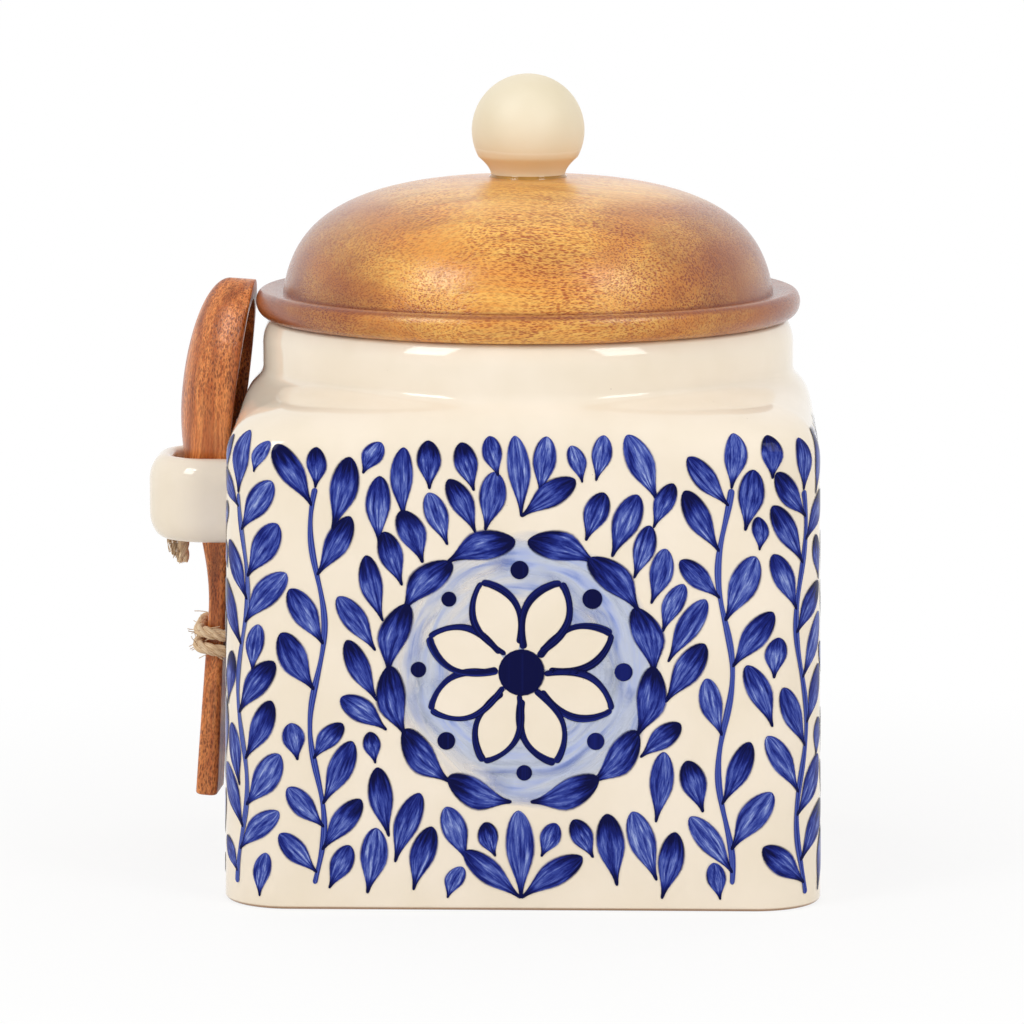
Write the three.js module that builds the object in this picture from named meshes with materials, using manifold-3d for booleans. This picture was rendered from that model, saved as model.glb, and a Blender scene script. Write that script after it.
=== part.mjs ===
import * as THREE from "three";
import { mergeVertices } from "three/addons/utils/BufferGeometryUtils.js";
import Module from "manifold-3d";

// Stoneware canister: a square glazed jar with a round neck, a turned wooden lid with a ball knob,
// and a carved wooden spoon that hangs in a clay loop on one wall, tied with jute twine.
// Millimetres, +Z up. The origin is the centre of the flat base. The painted front faces -Y and
// the spoon loop stands on the -X wall.

// Jar
const BODY_WIDTH = 141.4;
const BODY_DRAFT = 0.9;
const BODY_CORNER_RADIUS = 16;
const FOOT_RADIUS = 1.2;
const WALL_HEIGHT = 105;
const SHOULDER_RISE = 17;
const SHOULDER_ROUND = 15;
const SHOULDER_HOLLOW = 3.5;
const SHOULDER_LEDGE = 5.1;
const NECK_HEIGHT = 11.1;
const JAR_WALL = 6;
const JAR_FLOOR = 7;
const FLOOR_FILLET = 6;
const LEAST_CORNER_RADIUS = 1.5;
const SHOULDER_INSIDE_DROP = 5.5;
const RIM_OUTER_ROUND = 2.2;
const RIM_INNER_ROUND = 1.4;

// Lid
const FLANGE_OVERHANG = 1.6;
const FLANGE_HEIGHT = 6.9;
const FLANGE_UNDER_RISE = 4;
const FLANGE_UNDER_ROUND = 3.6;
const FLANGE_TOP_ROUND = 2;
const FLANGE_DIP = 0.6;
const DOME_INSET = 6.6;
const DOME_HEIGHT = 27.7;
const DOME_SIDE_RISE = 12.4;
const DOME_SIDE_LEAN = 2;
const DOME_SHOULDER_INSET = 8.6;
const DOME_SHOULDER_DROP = 0.9;
const PLUG_CLEARANCE = 2.2;
const PLUG_LIP = 4.7;
const PLUG_CHAMFER = 1.2;
const PLUG_WALL = 10.5;
const CROWN_THICKNESS = 14;
const RECESS_FILLET = 14;

// Seal ring in its groove round the plug
const SEAL_HEIGHT = 4.4;
const SEAL_GROOVE_DEPTH = 2.5;
const SEAL_DROP = 4.5;
const SEAL_CLEARANCE = 0.4;

// Knob and its fixing
const KNOB_BALL_DIAMETER = 27.4;
const KNOB_FOOT_DIAMETER = 18;
const KNOB_FOOT_ROUND = 0.5;
const KNOB_WAIST_ANGLE = 28;
const KNOB_WAIST_RISE = 4.43;
const KNOB_WAIST_PULL = 1.8;
const CROWN_LAND_MARGIN = 0.6;
const SCREW_DIAMETER = 4.8;
const SCREW_HEAD_DIAMETER = 9.2;
const SCREW_HEAD_HEIGHT = 3.4;
const SCREW_CLEARANCE = 0.3;
const SCREW_END_GAP = 3;
const DRIVE_WIDTH = 1.2;
const DRIVE_LENGTH = 4.6;
const DRIVE_DEPTH = 1.8;
const WASHER_DIAMETER = 14;
const WASHER_THICKNESS = 1.2;
const INSERT_WALL = 1.5;
const INSERT_LENGTH = 12;
const CEMENT_GAP = 0.3;

// Spoon
const HANDLE_LENGTH = 52;
const HANDLE_END_WIDTH = 15;
const HANDLE_NECK_WIDTH = 10;
const HANDLE_END_THICKNESS = 5.3;
const HANDLE_THICKNESS = 4.2;
const HANDLE_EDGE = 1.4;
const HANDLE_END_ROUND = 0.8;
const BOWL_RISE = 45;
const BOWL_TIP = 30.4;
const BOWL_WIDTH = 29;
const BOWL_BULGE = 10.3;
const BULGE_RUN = 52;
const RIM_DIP = 3.5;
const RIM_DIP_DROP = 9;
const RIM_TIP = 6;
const RIM_THICKNESS = 2;
const RIM_EDGE = 1;
const HOLLOW_LENGTH = 45;
const HOLLOW_DEPTH = 9.8;
const HOLLOW_TIP_RIM = 4.9;
const HOLLOW_TILT = 2.4;
const SPOON_TILT = 4;
const SPOON_TURN = 3;
const SEAT_DROP = 14.2;
const SEAT_CLEARANCE = 0.35;
const SPOON_LID_CLEARANCE = 0.5;
const SPOON_WALL_CLEARANCE = 0.4;

// Loop that carries the spoon
const LOOP_DROP = 5.5;
const LOOP_HEIGHT = 20.5;
const LOOP_THICKNESS = 5.9;
const LOOP_INNER_RADIUS = 9;
const LOOP_OUTER_ROUND = 4;
const LOOP_OUTER_ROLL = 6.4;
const LOOP_INNER_ROUND = 1.7;
const LOOP_BACK_CLEARANCE = 2.6;
const LOOP_SLIP_GAP = 0.3;

// Twine
const TWINE_DIAMETER = 3;
const TWINE_CLEARANCE = 0.3;
const TWINE_TURNS = 2;
const TWINE_TURN_GAP = 0.9;
const TWINE_HEIGHT = 34.5;

// Facet counts
const FLAT_STEPS = 8;
const CORNER_STEPS = 8;
const CURVE_STEPS = 8;
const ARC_STEPS = 4;
const LATHE_STEPS = 44;
const KNOB_STEPS = 30;
const FIXING_STEPS = 20;
const HOLLOW_STEPS = 18;
const TWINE_SIDES = 6;
const TWINE_LOOP_STEPS = 24;

const UP = new THREE.Vector3(0, 0, 1);
const TILT_AXIS = new THREE.Vector3(0, 1, 0);
const WELD_DISTANCE = 1e-4;

// Sizes that follow from the ones above
const rimHeight = WALL_HEIGHT + SHOULDER_RISE + NECK_HEIGHT;
const shoulderHalf = BODY_WIDTH / 2 - BODY_DRAFT;
const neckRadius = shoulderHalf - SHOULDER_LEDGE;
const neckBore = neckRadius - JAR_WALL;
const flangeRadius = neckRadius + FLANGE_OVERHANG;
const domeRadius = flangeRadius - DOME_INSET;
const domeBase = rimHeight + FLANGE_HEIGHT - FLANGE_DIP;
const crownHeight = domeBase + DOME_HEIGHT;
const ceilingHeight = crownHeight - CROWN_THICKNESS;
const plugRadius = neckBore - PLUG_CLEARANCE;
const sealTop = rimHeight - SEAL_DROP;
const grooveTop = sealTop + SEAL_CLEARANCE;
const grooveLow = sealTop - SEAL_HEIGHT - SEAL_CLEARANCE;
const plugBottom = grooveLow - PLUG_LIP;
const screwRadius = SCREW_DIAMETER / 2;
const screwHoleRadius = screwRadius + SCREW_CLEARANCE;
const insertRadius = screwHoleRadius + INSERT_WALL;
const bowlWidest = HANDLE_LENGTH + BOWL_RISE;
const spoonLength = bowlWidest + BOWL_TIP;
const bulgeStart = bowlWidest - BULGE_RUN;
const rimDipHeight = bowlWidest - RIM_DIP_DROP;
const seatOnSpoon = bowlWidest - SEAT_DROP;
const spoonTilt = radians(SPOON_TILT);
const spoonTurn = radians(SPOON_TURN);
const twinePitch = TWINE_DIAMETER + TWINE_TURN_GAP;
const loopMiddle = WALL_HEIGHT - LOOP_DROP - LOOP_HEIGHT / 2;
const seatHeight = WALL_HEIGHT - LOOP_DROP - LOOP_INNER_ROUND;
const spoonEndHeight = seatHeight - seatOnSpoon * Math.cos(spoonTilt);
const spoonEndX = -spoonStandoff();
const seatRing = hungRing(seatOnSpoon);
const loopHoleHalf = Math.max(...seatRing.map((p) => Math.abs(p.y))) + SEAT_CLEARANCE;
const loopInnerX = Math.min(...seatRing.map((p) => spoonPlace(p).x)) - LOOP_BACK_CLEARANCE;

const wasm = await Module();
wasm.setup();

function radians(degrees) {
  return THREE.MathUtils.degToRad(degrees);
}

function point(x, y, z) {
  return new THREE.Vector3(x, y, z);
}

function flatPoint(x, y) {
  return new THREE.Vector2(x, y);
}

// Points on an elliptical arc, angles in degrees.
function arc(x, y, reachX, reachY, from, to, steps) {
  const points = [];
  for (let i = 0; i <= steps; i++) {
    const angle = radians(from + ((to - from) * i) / steps);
    points.push(flatPoint(x + reachX * Math.cos(angle), y + reachY * Math.sin(angle)));
  }
  return points;
}

function centreOf(ring) {
  const sum = ring.reduce((total, p) => total.add(p), point(0, 0, 0));
  return sum.divideScalar(ring.length);
}

// Closed surface through rings of equal count, with a fan to the middle of the first and last ring.
function skin(rings) {
  const count = rings[0].length;
  const points = rings.flat();
  const first = points.push(centreOf(rings[0])) - 1;
  const last = points.push(centreOf(rings.at(-1))) - 1;
  const end = (rings.length - 1) * count;
  const faces = [];
  for (let k = 0; k < count; k++) {
    const next = (k + 1) % count;
    faces.push(first, next, k);
    for (let a = 0; a < end; a += count) {
      const b = a + count;
      faces.push(a + k, a + next, b + next);
      faces.push(a + k, b + next, b + k);
    }
    faces.push(last, end + k, end + next);
  }
  return new THREE.BufferGeometry().setFromPoints(points).setIndex(faces);
}

// Solid turned round the Z axis from a profile of (radius, height) points.
function turned(profile, steps) {
  return new THREE.LatheGeometry(profile, steps).rotateX(Math.PI / 2);
}

function solidOf(geometry) {
  const bare = new THREE.BufferGeometry();
  bare.setAttribute("position", geometry.getAttribute("position"));
  bare.setIndex(geometry.index);
  const merged = mergeVertices(bare, WELD_DISTANCE);
  const vertProperties = merged.getAttribute("position").array;
  const triVerts = new Uint32Array(merged.index.array);
  return new wasm.Manifold(new wasm.Mesh({ numProp: 3, vertProperties, triVerts }));
}

function geometryOf(solid) {
  const mesh = solid.getMesh();
  const geometry = new THREE.BufferGeometry();
  geometry.setAttribute("position", new THREE.BufferAttribute(mesh.vertProperties, 3));
  return geometry.setIndex(new THREE.BufferAttribute(mesh.triVerts, 1));
}

function piece(name, geometry, color, roughness, metalness = 0) {
  const material = new THREE.MeshStandardMaterial({ color, roughness, metalness });
  const mesh = new THREE.Mesh(geometry, material);
  mesh.name = name;
  return mesh;
}

// Jar

function wallHalf(height) {
  return BODY_WIDTH / 2 - (BODY_DRAFT * height) / WALL_HEIGHT;
}

// Distance from the axis to a rounded square in the direction of an angle.
function squareReach(angle, half, corner) {
  const c = Math.abs(Math.cos(angle));
  const s = Math.abs(Math.sin(angle));
  const core = half - corner;
  const flat = half / Math.max(c, s);
  if (flat * Math.min(c, s) <= core) return flat;
  const along = core * (c + s);
  return along + Math.sqrt(along * along - 2 * core * core + corner * corner);
}

// Directions of the jar's stations: even along the flats, and even round each corner.
function jarStations() {
  const half = BODY_WIDTH / 2;
  const core = half - BODY_CORNER_RADIUS;
  const edge = Math.atan2(core, half);
  const corner = arc(core, core, BODY_CORNER_RADIUS, BODY_CORNER_RADIUS, 0, 90, CORNER_STEPS);
  const angles = [];
  for (let side = 0; side < 4; side++) {
    const turn = (side * Math.PI) / 2;
    for (let i = 0; i < FLAT_STEPS; i++) {
      angles.push(turn + edge * ((2 * i) / FLAT_STEPS - 1));
    }
    for (const p of corner.slice(0, -1)) {
      angles.push(turn + Math.atan2(p.y, p.x));
    }
  }
  return angles;
}

// Curve from the wall (share 1) to the neck (share 0): convex over the wall, hollow into the neck.
function shoulderCurve(drop) {
  const low = WALL_HEIGHT - drop;
  const high = WALL_HEIGHT + SHOULDER_RISE - drop;
  return new THREE.CubicBezierCurve(
    flatPoint(1, low),
    flatPoint(1, low + SHOULDER_ROUND),
    flatPoint(0, high - SHOULDER_HOLLOW),
    flatPoint(0, high),
  ).getPoints(CURVE_STEPS);
}

function jarGeometry() {
  const angles = jarStations();
  const ring = (reach, height) =>
    angles.map((a) => point(reach(a) * Math.cos(a), reach(a) * Math.sin(a), height));
  const square = (inset, height) => {
    const half = wallHalf(height) - inset;
    const corner = Math.max(BODY_CORNER_RADIUS - inset, LEAST_CORNER_RADIUS);
    return ring((a) => squareReach(a, half, corner), height);
  };
  const shoulder = (share, height, inset) => {
    const half = shoulderHalf - inset;
    const corner = Math.max(BODY_CORNER_RADIUS - inset, LEAST_CORNER_RADIUS);
    const round = neckRadius - inset;
    return ring((a) => round + share * (squareReach(a, half, corner) - round), height);
  };
  const round = (radius, height) => ring(() => radius, height);
  const rings = [];
  for (const p of arc(0, FOOT_RADIUS, FOOT_RADIUS, FOOT_RADIUS, -90, 0, ARC_STEPS)) {
    rings.push(square(FOOT_RADIUS - p.x, p.y));
  }
  for (const p of shoulderCurve(0)) {
    rings.push(shoulder(p.x, p.y, 0));
  }
  const outer = neckRadius - RIM_OUTER_ROUND;
  const outerLow = rimHeight - RIM_OUTER_ROUND;
  for (const p of arc(outer, outerLow, RIM_OUTER_ROUND, RIM_OUTER_ROUND, 0, 90, ARC_STEPS)) {
    rings.push(round(p.x, p.y));
  }
  const inner = neckBore + RIM_INNER_ROUND;
  const innerLow = rimHeight - RIM_INNER_ROUND;
  for (const p of arc(inner, innerLow, RIM_INNER_ROUND, RIM_INNER_ROUND, 90, 180, ARC_STEPS)) {
    rings.push(round(p.x, p.y));
  }
  for (const p of shoulderCurve(SHOULDER_INSIDE_DROP).reverse()) {
    rings.push(shoulder(p.x, p.y, JAR_WALL));
  }
  const filletTop = JAR_FLOOR + FLOOR_FILLET;
  for (const p of arc(FLOOR_FILLET, filletTop, FLOOR_FILLET, FLOOR_FILLET, 180, 270, ARC_STEPS)) {
    rings.push(square(JAR_WALL + p.x, p.y));
  }
  return skin(rings);
}

// Lid, seal and knob

function lidGeometry() {
  const recess = plugRadius - PLUG_WALL;
  const fillet = Math.min(RECESS_FILLET, ceilingHeight - plugBottom);
  const chamfer = Math.min(PLUG_CHAMFER, PLUG_LIP);
  const under = flangeRadius - FLANGE_UNDER_ROUND;
  const crest = flangeRadius - FLANGE_TOP_ROUND;
  const widest = rimHeight + FLANGE_UNDER_RISE;
  const topRise = FLANGE_HEIGHT - FLANGE_UNDER_RISE;
  const land = KNOB_FOOT_DIAMETER / 2 + CROWN_LAND_MARGIN;
  const dome = new THREE.CubicBezierCurve(
    flatPoint(domeRadius, domeBase),
    flatPoint(domeRadius - DOME_SIDE_LEAN, domeBase + DOME_SIDE_RISE),
    flatPoint(domeRadius - DOME_SHOULDER_INSET, crownHeight - DOME_SHOULDER_DROP),
    flatPoint(land, crownHeight),
  );
  const outline = [
    flatPoint(screwHoleRadius, ceilingHeight),
    ...arc(recess - fillet, ceilingHeight - fillet, fillet, fillet, 90, 0, ARC_STEPS),
    flatPoint(recess, plugBottom),
    flatPoint(plugRadius - chamfer, plugBottom),
    flatPoint(plugRadius, plugBottom + chamfer),
    flatPoint(plugRadius, grooveLow),
    flatPoint(plugRadius - SEAL_GROOVE_DEPTH, grooveLow),
    flatPoint(plugRadius - SEAL_GROOVE_DEPTH, grooveTop),
    flatPoint(plugRadius, grooveTop),
    flatPoint(plugRadius, rimHeight),
    ...arc(under, widest, FLANGE_UNDER_ROUND, FLANGE_UNDER_RISE, -90, 0, ARC_STEPS),
    ...arc(crest, widest, FLANGE_TOP_ROUND, topRise, 0, 90, ARC_STEPS).slice(1),
    ...dome.getPoints(CURVE_STEPS + ARC_STEPS),
    flatPoint(screwHoleRadius, crownHeight),
    flatPoint(screwHoleRadius, ceilingHeight),
  ];
  return turned(outline, LATHE_STEPS);
}

// D-shaped ring: flat against the groove, round against the neck.
function sealGeometry() {
  const inner = plugRadius - SEAL_GROOVE_DEPTH + SEAL_CLEARANCE;
  const half = SEAL_HEIGHT / 2;
  const outer = neckBore - SEAL_CLEARANCE;
  const crown = Math.min(half, outer - inner);
  const outline = [
    flatPoint(inner, sealTop - SEAL_HEIGHT),
    ...arc(outer - crown, sealTop - half, crown, half, -90, 90, CURVE_STEPS),
    flatPoint(inner, sealTop),
    flatPoint(inner, sealTop - SEAL_HEIGHT),
  ];
  return turned(outline, LATHE_STEPS);
}

function knobGeometry() {
  const ball = KNOB_BALL_DIAMETER / 2;
  const foot = KNOB_FOOT_DIAMETER / 2;
  const waistTop = KNOB_FOOT_ROUND + KNOB_WAIST_RISE;
  const centre = waistTop + ball * Math.sin(radians(KNOB_WAIST_ANGLE));
  const socket = insertRadius + CEMENT_GAP;
  const socketDepth = INSERT_LENGTH + CEMENT_GAP;
  const surface = arc(0, centre, ball, ball, -KNOB_WAIST_ANGLE, 90, 2 * CURVE_STEPS);
  const waist = new THREE.QuadraticBezierCurve(
    flatPoint(foot, KNOB_FOOT_ROUND),
    flatPoint(foot, KNOB_FOOT_ROUND + Math.min(KNOB_WAIST_PULL, KNOB_WAIST_RISE)),
    surface[0],
  );
  const outline = [
    flatPoint(0, socketDepth),
    flatPoint(socket, socketDepth),
    flatPoint(socket, 0),
    flatPoint(foot - KNOB_FOOT_ROUND, 0),
    ...waist.getPoints(ARC_STEPS),
    ...surface.slice(1, -1),
    flatPoint(0, centre + ball),
  ];
  return turned(outline, KNOB_STEPS);
}

function insertGeometry() {
  const outline = [
    flatPoint(screwHoleRadius, 0),
    flatPoint(insertRadius, 0),
    flatPoint(insertRadius, INSERT_LENGTH),
    flatPoint(screwHoleRadius, INSERT_LENGTH),
    flatPoint(screwHoleRadius, 0),
  ];
  return turned(outline, FIXING_STEPS);
}

function washerGeometry() {
  const outline = [
    flatPoint(screwHoleRadius, 0),
    flatPoint(WASHER_DIAMETER / 2, 0),
    flatPoint(WASHER_DIAMETER / 2, WASHER_THICKNESS),
    flatPoint(screwHoleRadius, WASHER_THICKNESS),
    flatPoint(screwHoleRadius, 0),
  ];
  return turned(outline, FIXING_STEPS);
}

// Pan-head screw, its head down and a cross recess in the head.
function screwGeometry() {
  const head = SCREW_HEAD_DIAMETER / 2;
  const shank = WASHER_THICKNESS + CROWN_THICKNESS + INSERT_LENGTH - SCREW_END_GAP;
  const outline = [
    flatPoint(0, -SCREW_HEAD_HEIGHT),
    ...arc(head / 2, 0, head / 2, SCREW_HEAD_HEIGHT, -90, 0, ARC_STEPS),
    flatPoint(screwRadius, 0),
    flatPoint(screwRadius, shank),
    flatPoint(0, shank),
  ];
  const cut = new THREE.BoxGeometry(DRIVE_LENGTH, DRIVE_WIDTH, 2 * DRIVE_DEPTH);
  cut.translate(0, 0, -SCREW_HEAD_HEIGHT);
  const across = cut.clone().rotateZ(Math.PI / 2);
  const blank = solidOf(turned(outline, FIXING_STEPS));
  return geometryOf(blank.subtract(solidOf(cut)).subtract(solidOf(across)));
}

// Spoon, in its own frame: Z up the handle from its end, X towards the jar, 0 at the handle's back.

// Share of the bowl's full size that is left above its widest height.
function bowlTaper(height) {
  const share = (height - bowlWidest) / BOWL_TIP;
  return Math.sqrt(Math.max(0, 1 - share * share));
}

function spoonHalfWidth(height) {
  if (height > bowlWidest) return (BOWL_WIDTH / 2) * bowlTaper(height);
  const drawn = THREE.MathUtils.smoothstep(height, 0, HANDLE_LENGTH);
  const handle = THREE.MathUtils.lerp(HANDLE_END_WIDTH, HANDLE_NECK_WIDTH, drawn);
  const swell = THREE.MathUtils.smoothstep(height, HANDLE_LENGTH, bowlWidest);
  return THREE.MathUtils.lerp(handle, BOWL_WIDTH, swell) / 2;
}

function spoonBulge(height) {
  if (height > bowlWidest) return BOWL_BULGE * bowlTaper(height);
  return BOWL_BULGE * THREE.MathUtils.smoothstep(height, bulgeStart, bowlWidest);
}

function spoonFront(height) {
  const thin = THREE.MathUtils.smoothstep(height, 0, bulgeStart);
  const dip = THREE.MathUtils.smoothstep(height, bulgeStart, rimDipHeight);
  const tip = Math.max(0, (height - rimDipHeight) / (spoonLength - rimDipHeight));
  const handle = THREE.MathUtils.lerp(HANDLE_END_THICKNESS, HANDLE_THICKNESS, thin);
  return THREE.MathUtils.lerp(handle, RIM_DIP, dip) + (RIM_TIP - RIM_DIP) * tip;
}

// Section across the spoon: rounded bar for the handle, flat-fronted half oval for the bowl.
function spoonRing(height, inset) {
  const half = spoonHalfWidth(height) - inset;
  const front = spoonFront(height) - inset;
  const back = -spoonBulge(height) + inset;
  const bowl = THREE.MathUtils.smoothstep(height, bulgeStart, bowlWidest);
  const edge = Math.min(THREE.MathUtils.lerp(HANDLE_EDGE, RIM_EDGE, bowl), half);
  const backWide = THREE.MathUtils.lerp(edge, half, bowl);
  const backDeep = THREE.MathUtils.lerp(HANDLE_EDGE, front - back - edge, bowl);
  const outline = [
    ...arc(front - edge, half - edge, edge, edge, 0, 90, ARC_STEPS),
    ...arc(back + backDeep, half - backWide, backDeep, backWide, 90, 180, ARC_STEPS),
    ...arc(back + backDeep, backWide - half, backDeep, backWide, 180, 270, ARC_STEPS),
    ...arc(front - edge, edge - half, edge, edge, 270, 360, ARC_STEPS),
  ];
  return outline.map((p) => point(p.x, p.y, height));
}

// The same section turned about the handle, as the spoon hangs.
function hungRing(height) {
  return spoonRing(height, 0).map((p) => p.applyAxisAngle(UP, -spoonTurn));
}

function spoonGeometry() {
  const steps = (from, to, count) =>
    Array.from({ length: count }, (_, i) => from + ((to - from) * (i + 1)) / count);
  const tip = arc(0, bowlWidest, 1, BOWL_TIP, 0, 90, CURVE_STEPS + 1).slice(1, -1);
  const heights = [
    ...steps(HANDLE_END_ROUND, HANDLE_LENGTH, CURVE_STEPS),
    ...steps(HANDLE_LENGTH, bowlWidest, CURVE_STEPS),
    ...tip.map((p) => p.y),
    spoonLength - RIM_EDGE / CURVE_STEPS,
  ];
  const rings = [
    spoonRing(0, HANDLE_END_ROUND),
    spoonRing(HANDLE_END_ROUND, 0),
    ...heights.map((height) => spoonRing(height, 0)),
  ];
  const hollowMiddle = spoonLength - HOLLOW_TIP_RIM - HOLLOW_LENGTH / 2;
  const hollow = new THREE.SphereGeometry(1, HOLLOW_STEPS, HOLLOW_STEPS);
  hollow.scale(HOLLOW_DEPTH, BOWL_WIDTH / 2 - RIM_THICKNESS, HOLLOW_LENGTH / 2);
  hollow.rotateY(radians(HOLLOW_TILT));
  hollow.translate(spoonFront(hollowMiddle), 0, hollowMiddle);
  return geometryOf(solidOf(skin(rings)).subtract(solidOf(hollow)));
}

// Where a point of the turned spoon lies once the spoon leans in its loop.
function spoonPlace(turnedPoint) {
  const leant = turnedPoint.clone().applyAxisAngle(TILT_AXIS, spoonTilt);
  return leant.add(point(spoonEndX, 0, spoonEndHeight));
}

// How far out the handle's end stands: the spoon's front clears the lid's flange and the shoulder, and
// the twine clears the wall.
function spoonStandoff() {
  const flangeAt = (rimHeight + FLANGE_UNDER_RISE - spoonEndHeight) / Math.cos(spoonTilt);
  const leanAt = (x, height) => x * Math.cos(spoonTilt) + height * Math.sin(spoonTilt);
  const onLid = hungRing(flangeAt).map((p) => {
    const flange = Math.sqrt(flangeRadius * flangeRadius - p.y * p.y);
    return flange + SPOON_LID_CLEARANCE + leanAt(p.x, flangeAt);
  });
  const onShoulder = shoulderCurve(0).map((p) => {
    const at = (p.y - spoonEndHeight) / Math.cos(spoonTilt);
    const front = Math.max(...hungRing(at).map((q) => q.x));
    return neckRadius + p.x * SHOULDER_LEDGE + SPOON_WALL_CLEARANCE + leanAt(front, at);
  });
  const turn = twineTurn();
  const cornerOut = point(turn.middle + turn.coreDeep, turn.coreWide, 0).applyAxisAngle(UP, -spoonTurn);
  const twineOut = cornerOut.x + turn.corner + TWINE_DIAMETER / 2;
  const twineTop = TWINE_HEIGHT + TWINE_TURNS * twinePitch;
  const onWall = wallHalf(spoonEndHeight + twineTop) + TWINE_CLEARANCE + leanAt(twineOut, twineTop);
  return Math.max(...onLid, ...onShoulder, onWall);
}

// Loop: a rounded clay strap bent in a U, its two ends luted to the wall.
function loopGeometry() {
  const half = LOOP_THICKNESS / 2;
  const tall = LOOP_HEIGHT / 2;
  const legs = loopHoleHalf + half;
  const bend = Math.min(LOOP_INNER_RADIUS, loopHoleHalf) + half;
  const bendX = loopInnerX - half + bend;
  const bendY = legs - bend;
  const inner = LOOP_INNER_ROUND;
  const outer = Math.min(LOOP_OUTER_ROUND, LOOP_THICKNESS - inner);
  const roll = Math.min(LOOP_OUTER_ROLL, tall);
  const section = [
    ...arc(half - outer, tall - roll, outer, roll, 0, 90, ARC_STEPS),
    ...arc(inner - half, tall - inner, inner, inner, 90, 180, ARC_STEPS),
    ...arc(inner - half, inner - tall, inner, inner, 180, 270, ARC_STEPS),
    ...arc(half - outer, roll - tall, outer, roll, 270, 360, ARC_STEPS),
  ];
  const station = (x, y, outward) =>
    section.map((p) => {
      const out = point(p.x, 0, loopMiddle + p.y).applyAxisAngle(UP, outward);
      return out.add(point(x, y, 0));
    });
  const atWall = (side) =>
    station(0, side * legs, (side * Math.PI) / 2).map((p) => p.setX(-wallHalf(p.z) - LOOP_SLIP_GAP));
  const round = (side) =>
    arc(bendX, side * bendY, bend, bend, 180, 180 - side * 90, CURVE_STEPS).map((p, i) =>
      station(p.x, p.y, Math.PI - (side * (Math.PI / 2) * i) / CURVE_STEPS),
    );
  return skin([atWall(-1), ...round(-1).reverse(), ...round(1), atWall(1)]);
}

// Sizes of the line that the twine's middle follows round the handle: a rounded rectangle.
function twineTurn() {
  const middle = spoonFront(TWINE_HEIGHT) / 2;
  return {
    middle,
    coreDeep: middle - HANDLE_EDGE,
    coreWide: spoonHalfWidth(TWINE_HEIGHT) - HANDLE_EDGE,
    corner: HANDLE_EDGE + TWINE_CLEARANCE + TWINE_DIAMETER / 2,
  };
}

// Route of the twine in the spoon's frame: turns round the handle, then up behind it into the loop,
// over, and down to a cut end below the loop.
function twineRoute() {
  const { middle, coreDeep, coreWide, corner } = twineTurn();
  const side = coreWide + corner;
  const loop = new THREE.Shape();
  loop.moveTo(middle, side);
  loop.absarc(middle + coreDeep, coreWide, corner, Math.PI / 2, 0, true);
  loop.absarc(middle + coreDeep, -coreWide, corner, 0, -Math.PI / 2, true);
  loop.absarc(middle - coreDeep, -coreWide, corner, -Math.PI / 2, -Math.PI, true);
  loop.absarc(middle - coreDeep, coreWide, corner, Math.PI, Math.PI / 2, true);
  loop.closePath();
  const turn = loop.getSpacedPoints(TWINE_LOOP_STEPS);
  const route = [point(middle - TWINE_DIAMETER, side, TWINE_HEIGHT)];
  for (let i = 0; i <= TWINE_TURNS * TWINE_LOOP_STEPS; i++) {
    const p = turn[i % TWINE_LOOP_STEPS];
    route.push(point(p.x, p.y, TWINE_HEIGHT + (twinePitch * i) / TWINE_LOOP_STEPS));
  }
  route.push(
    point(4, 7.5, 43.6),
    point(4.1, 7.4, 47),
    point(2.8, 7.3, 53),
    point(0.8, 7.9, 59.5),
    point(-2.2, 9.2, 65.5),
    point(-5.3, 8.9, 70.3),
    point(-7.8, 5.6, 73.4),
    point(-8.4, 1.6, 73.2),
    point(-8.2, -1.2, 70),
    point(-7.9, -2, 66),
    point(-7.6, -2.3, 62.6),
    point(-7.4, -2.4, 59.8),
    point(-7.2, -2.5, 57),
  );
  return route;
}

function twineGeometry() {
  const route = twineRoute();
  const curve = new THREE.CatmullRomCurve3(route, false, "centripetal");
  const firstTurn = new THREE.CatmullRomCurve3(route.slice(1, TWINE_LOOP_STEPS + 2));
  const length = curve.getLength();
  const steps = Math.round((length * TWINE_LOOP_STEPS) / firstTurn.getLength());
  const frames = curve.computeFrenetFrames(steps, false);
  const middles = curve.getSpacedPoints(steps);
  const radius = TWINE_DIAMETER / 2;
  const section = arc(0, 0, radius, radius, 0, 360, TWINE_SIDES).slice(0, -1);
  const rings = middles.map((middle, i) =>
    section.map((p) => {
      const across = frames.normals[i].clone().multiplyScalar(p.x);
      return across.addScaledVector(frames.binormals[i], p.y).add(middle);
    }),
  );
  const gap = leastGap(middles, (2 * TWINE_DIAMETER * steps) / length);
  console.log(`twine_tie: ${length.toFixed(1)} mm long, least gap to itself ${gap.toFixed(2)} mm`);
  return skin(rings);
}

// Least clear distance between stretches of the twine that lie more than some steps apart.
function leastGap(middles, apart) {
  let gap = Infinity;
  for (let i = 0; i < middles.length; i++) {
    for (let j = i + Math.ceil(apart); j < middles.length; j++) {
      gap = Math.min(gap, middles[i].distanceTo(middles[j]) - TWINE_DIAMETER);
    }
  }
  return gap;
}

const canister = new THREE.Group();
canister.add(piece("stoneware_jar", jarGeometry(), 0xefe4cf, 0.15));
canister.add(piece("spoon_loop", loopGeometry(), 0xf0e6d6, 0.15));

const lid = new THREE.Group();
lid.add(piece("wooden_lid", lidGeometry(), 0xb87333, 0.4));
lid.add(piece("lid_seal", sealGeometry(), 0xe8e6e0, 0.5));

const knob = new THREE.Group();
knob.position.set(0, 0, crownHeight);
knob.add(piece("lid_knob", knobGeometry(), 0xefe6d2, 0.15));
knob.add(piece("knob_insert", insertGeometry(), 0xb08d4a, 0.35, 1));
lid.add(knob);

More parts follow.
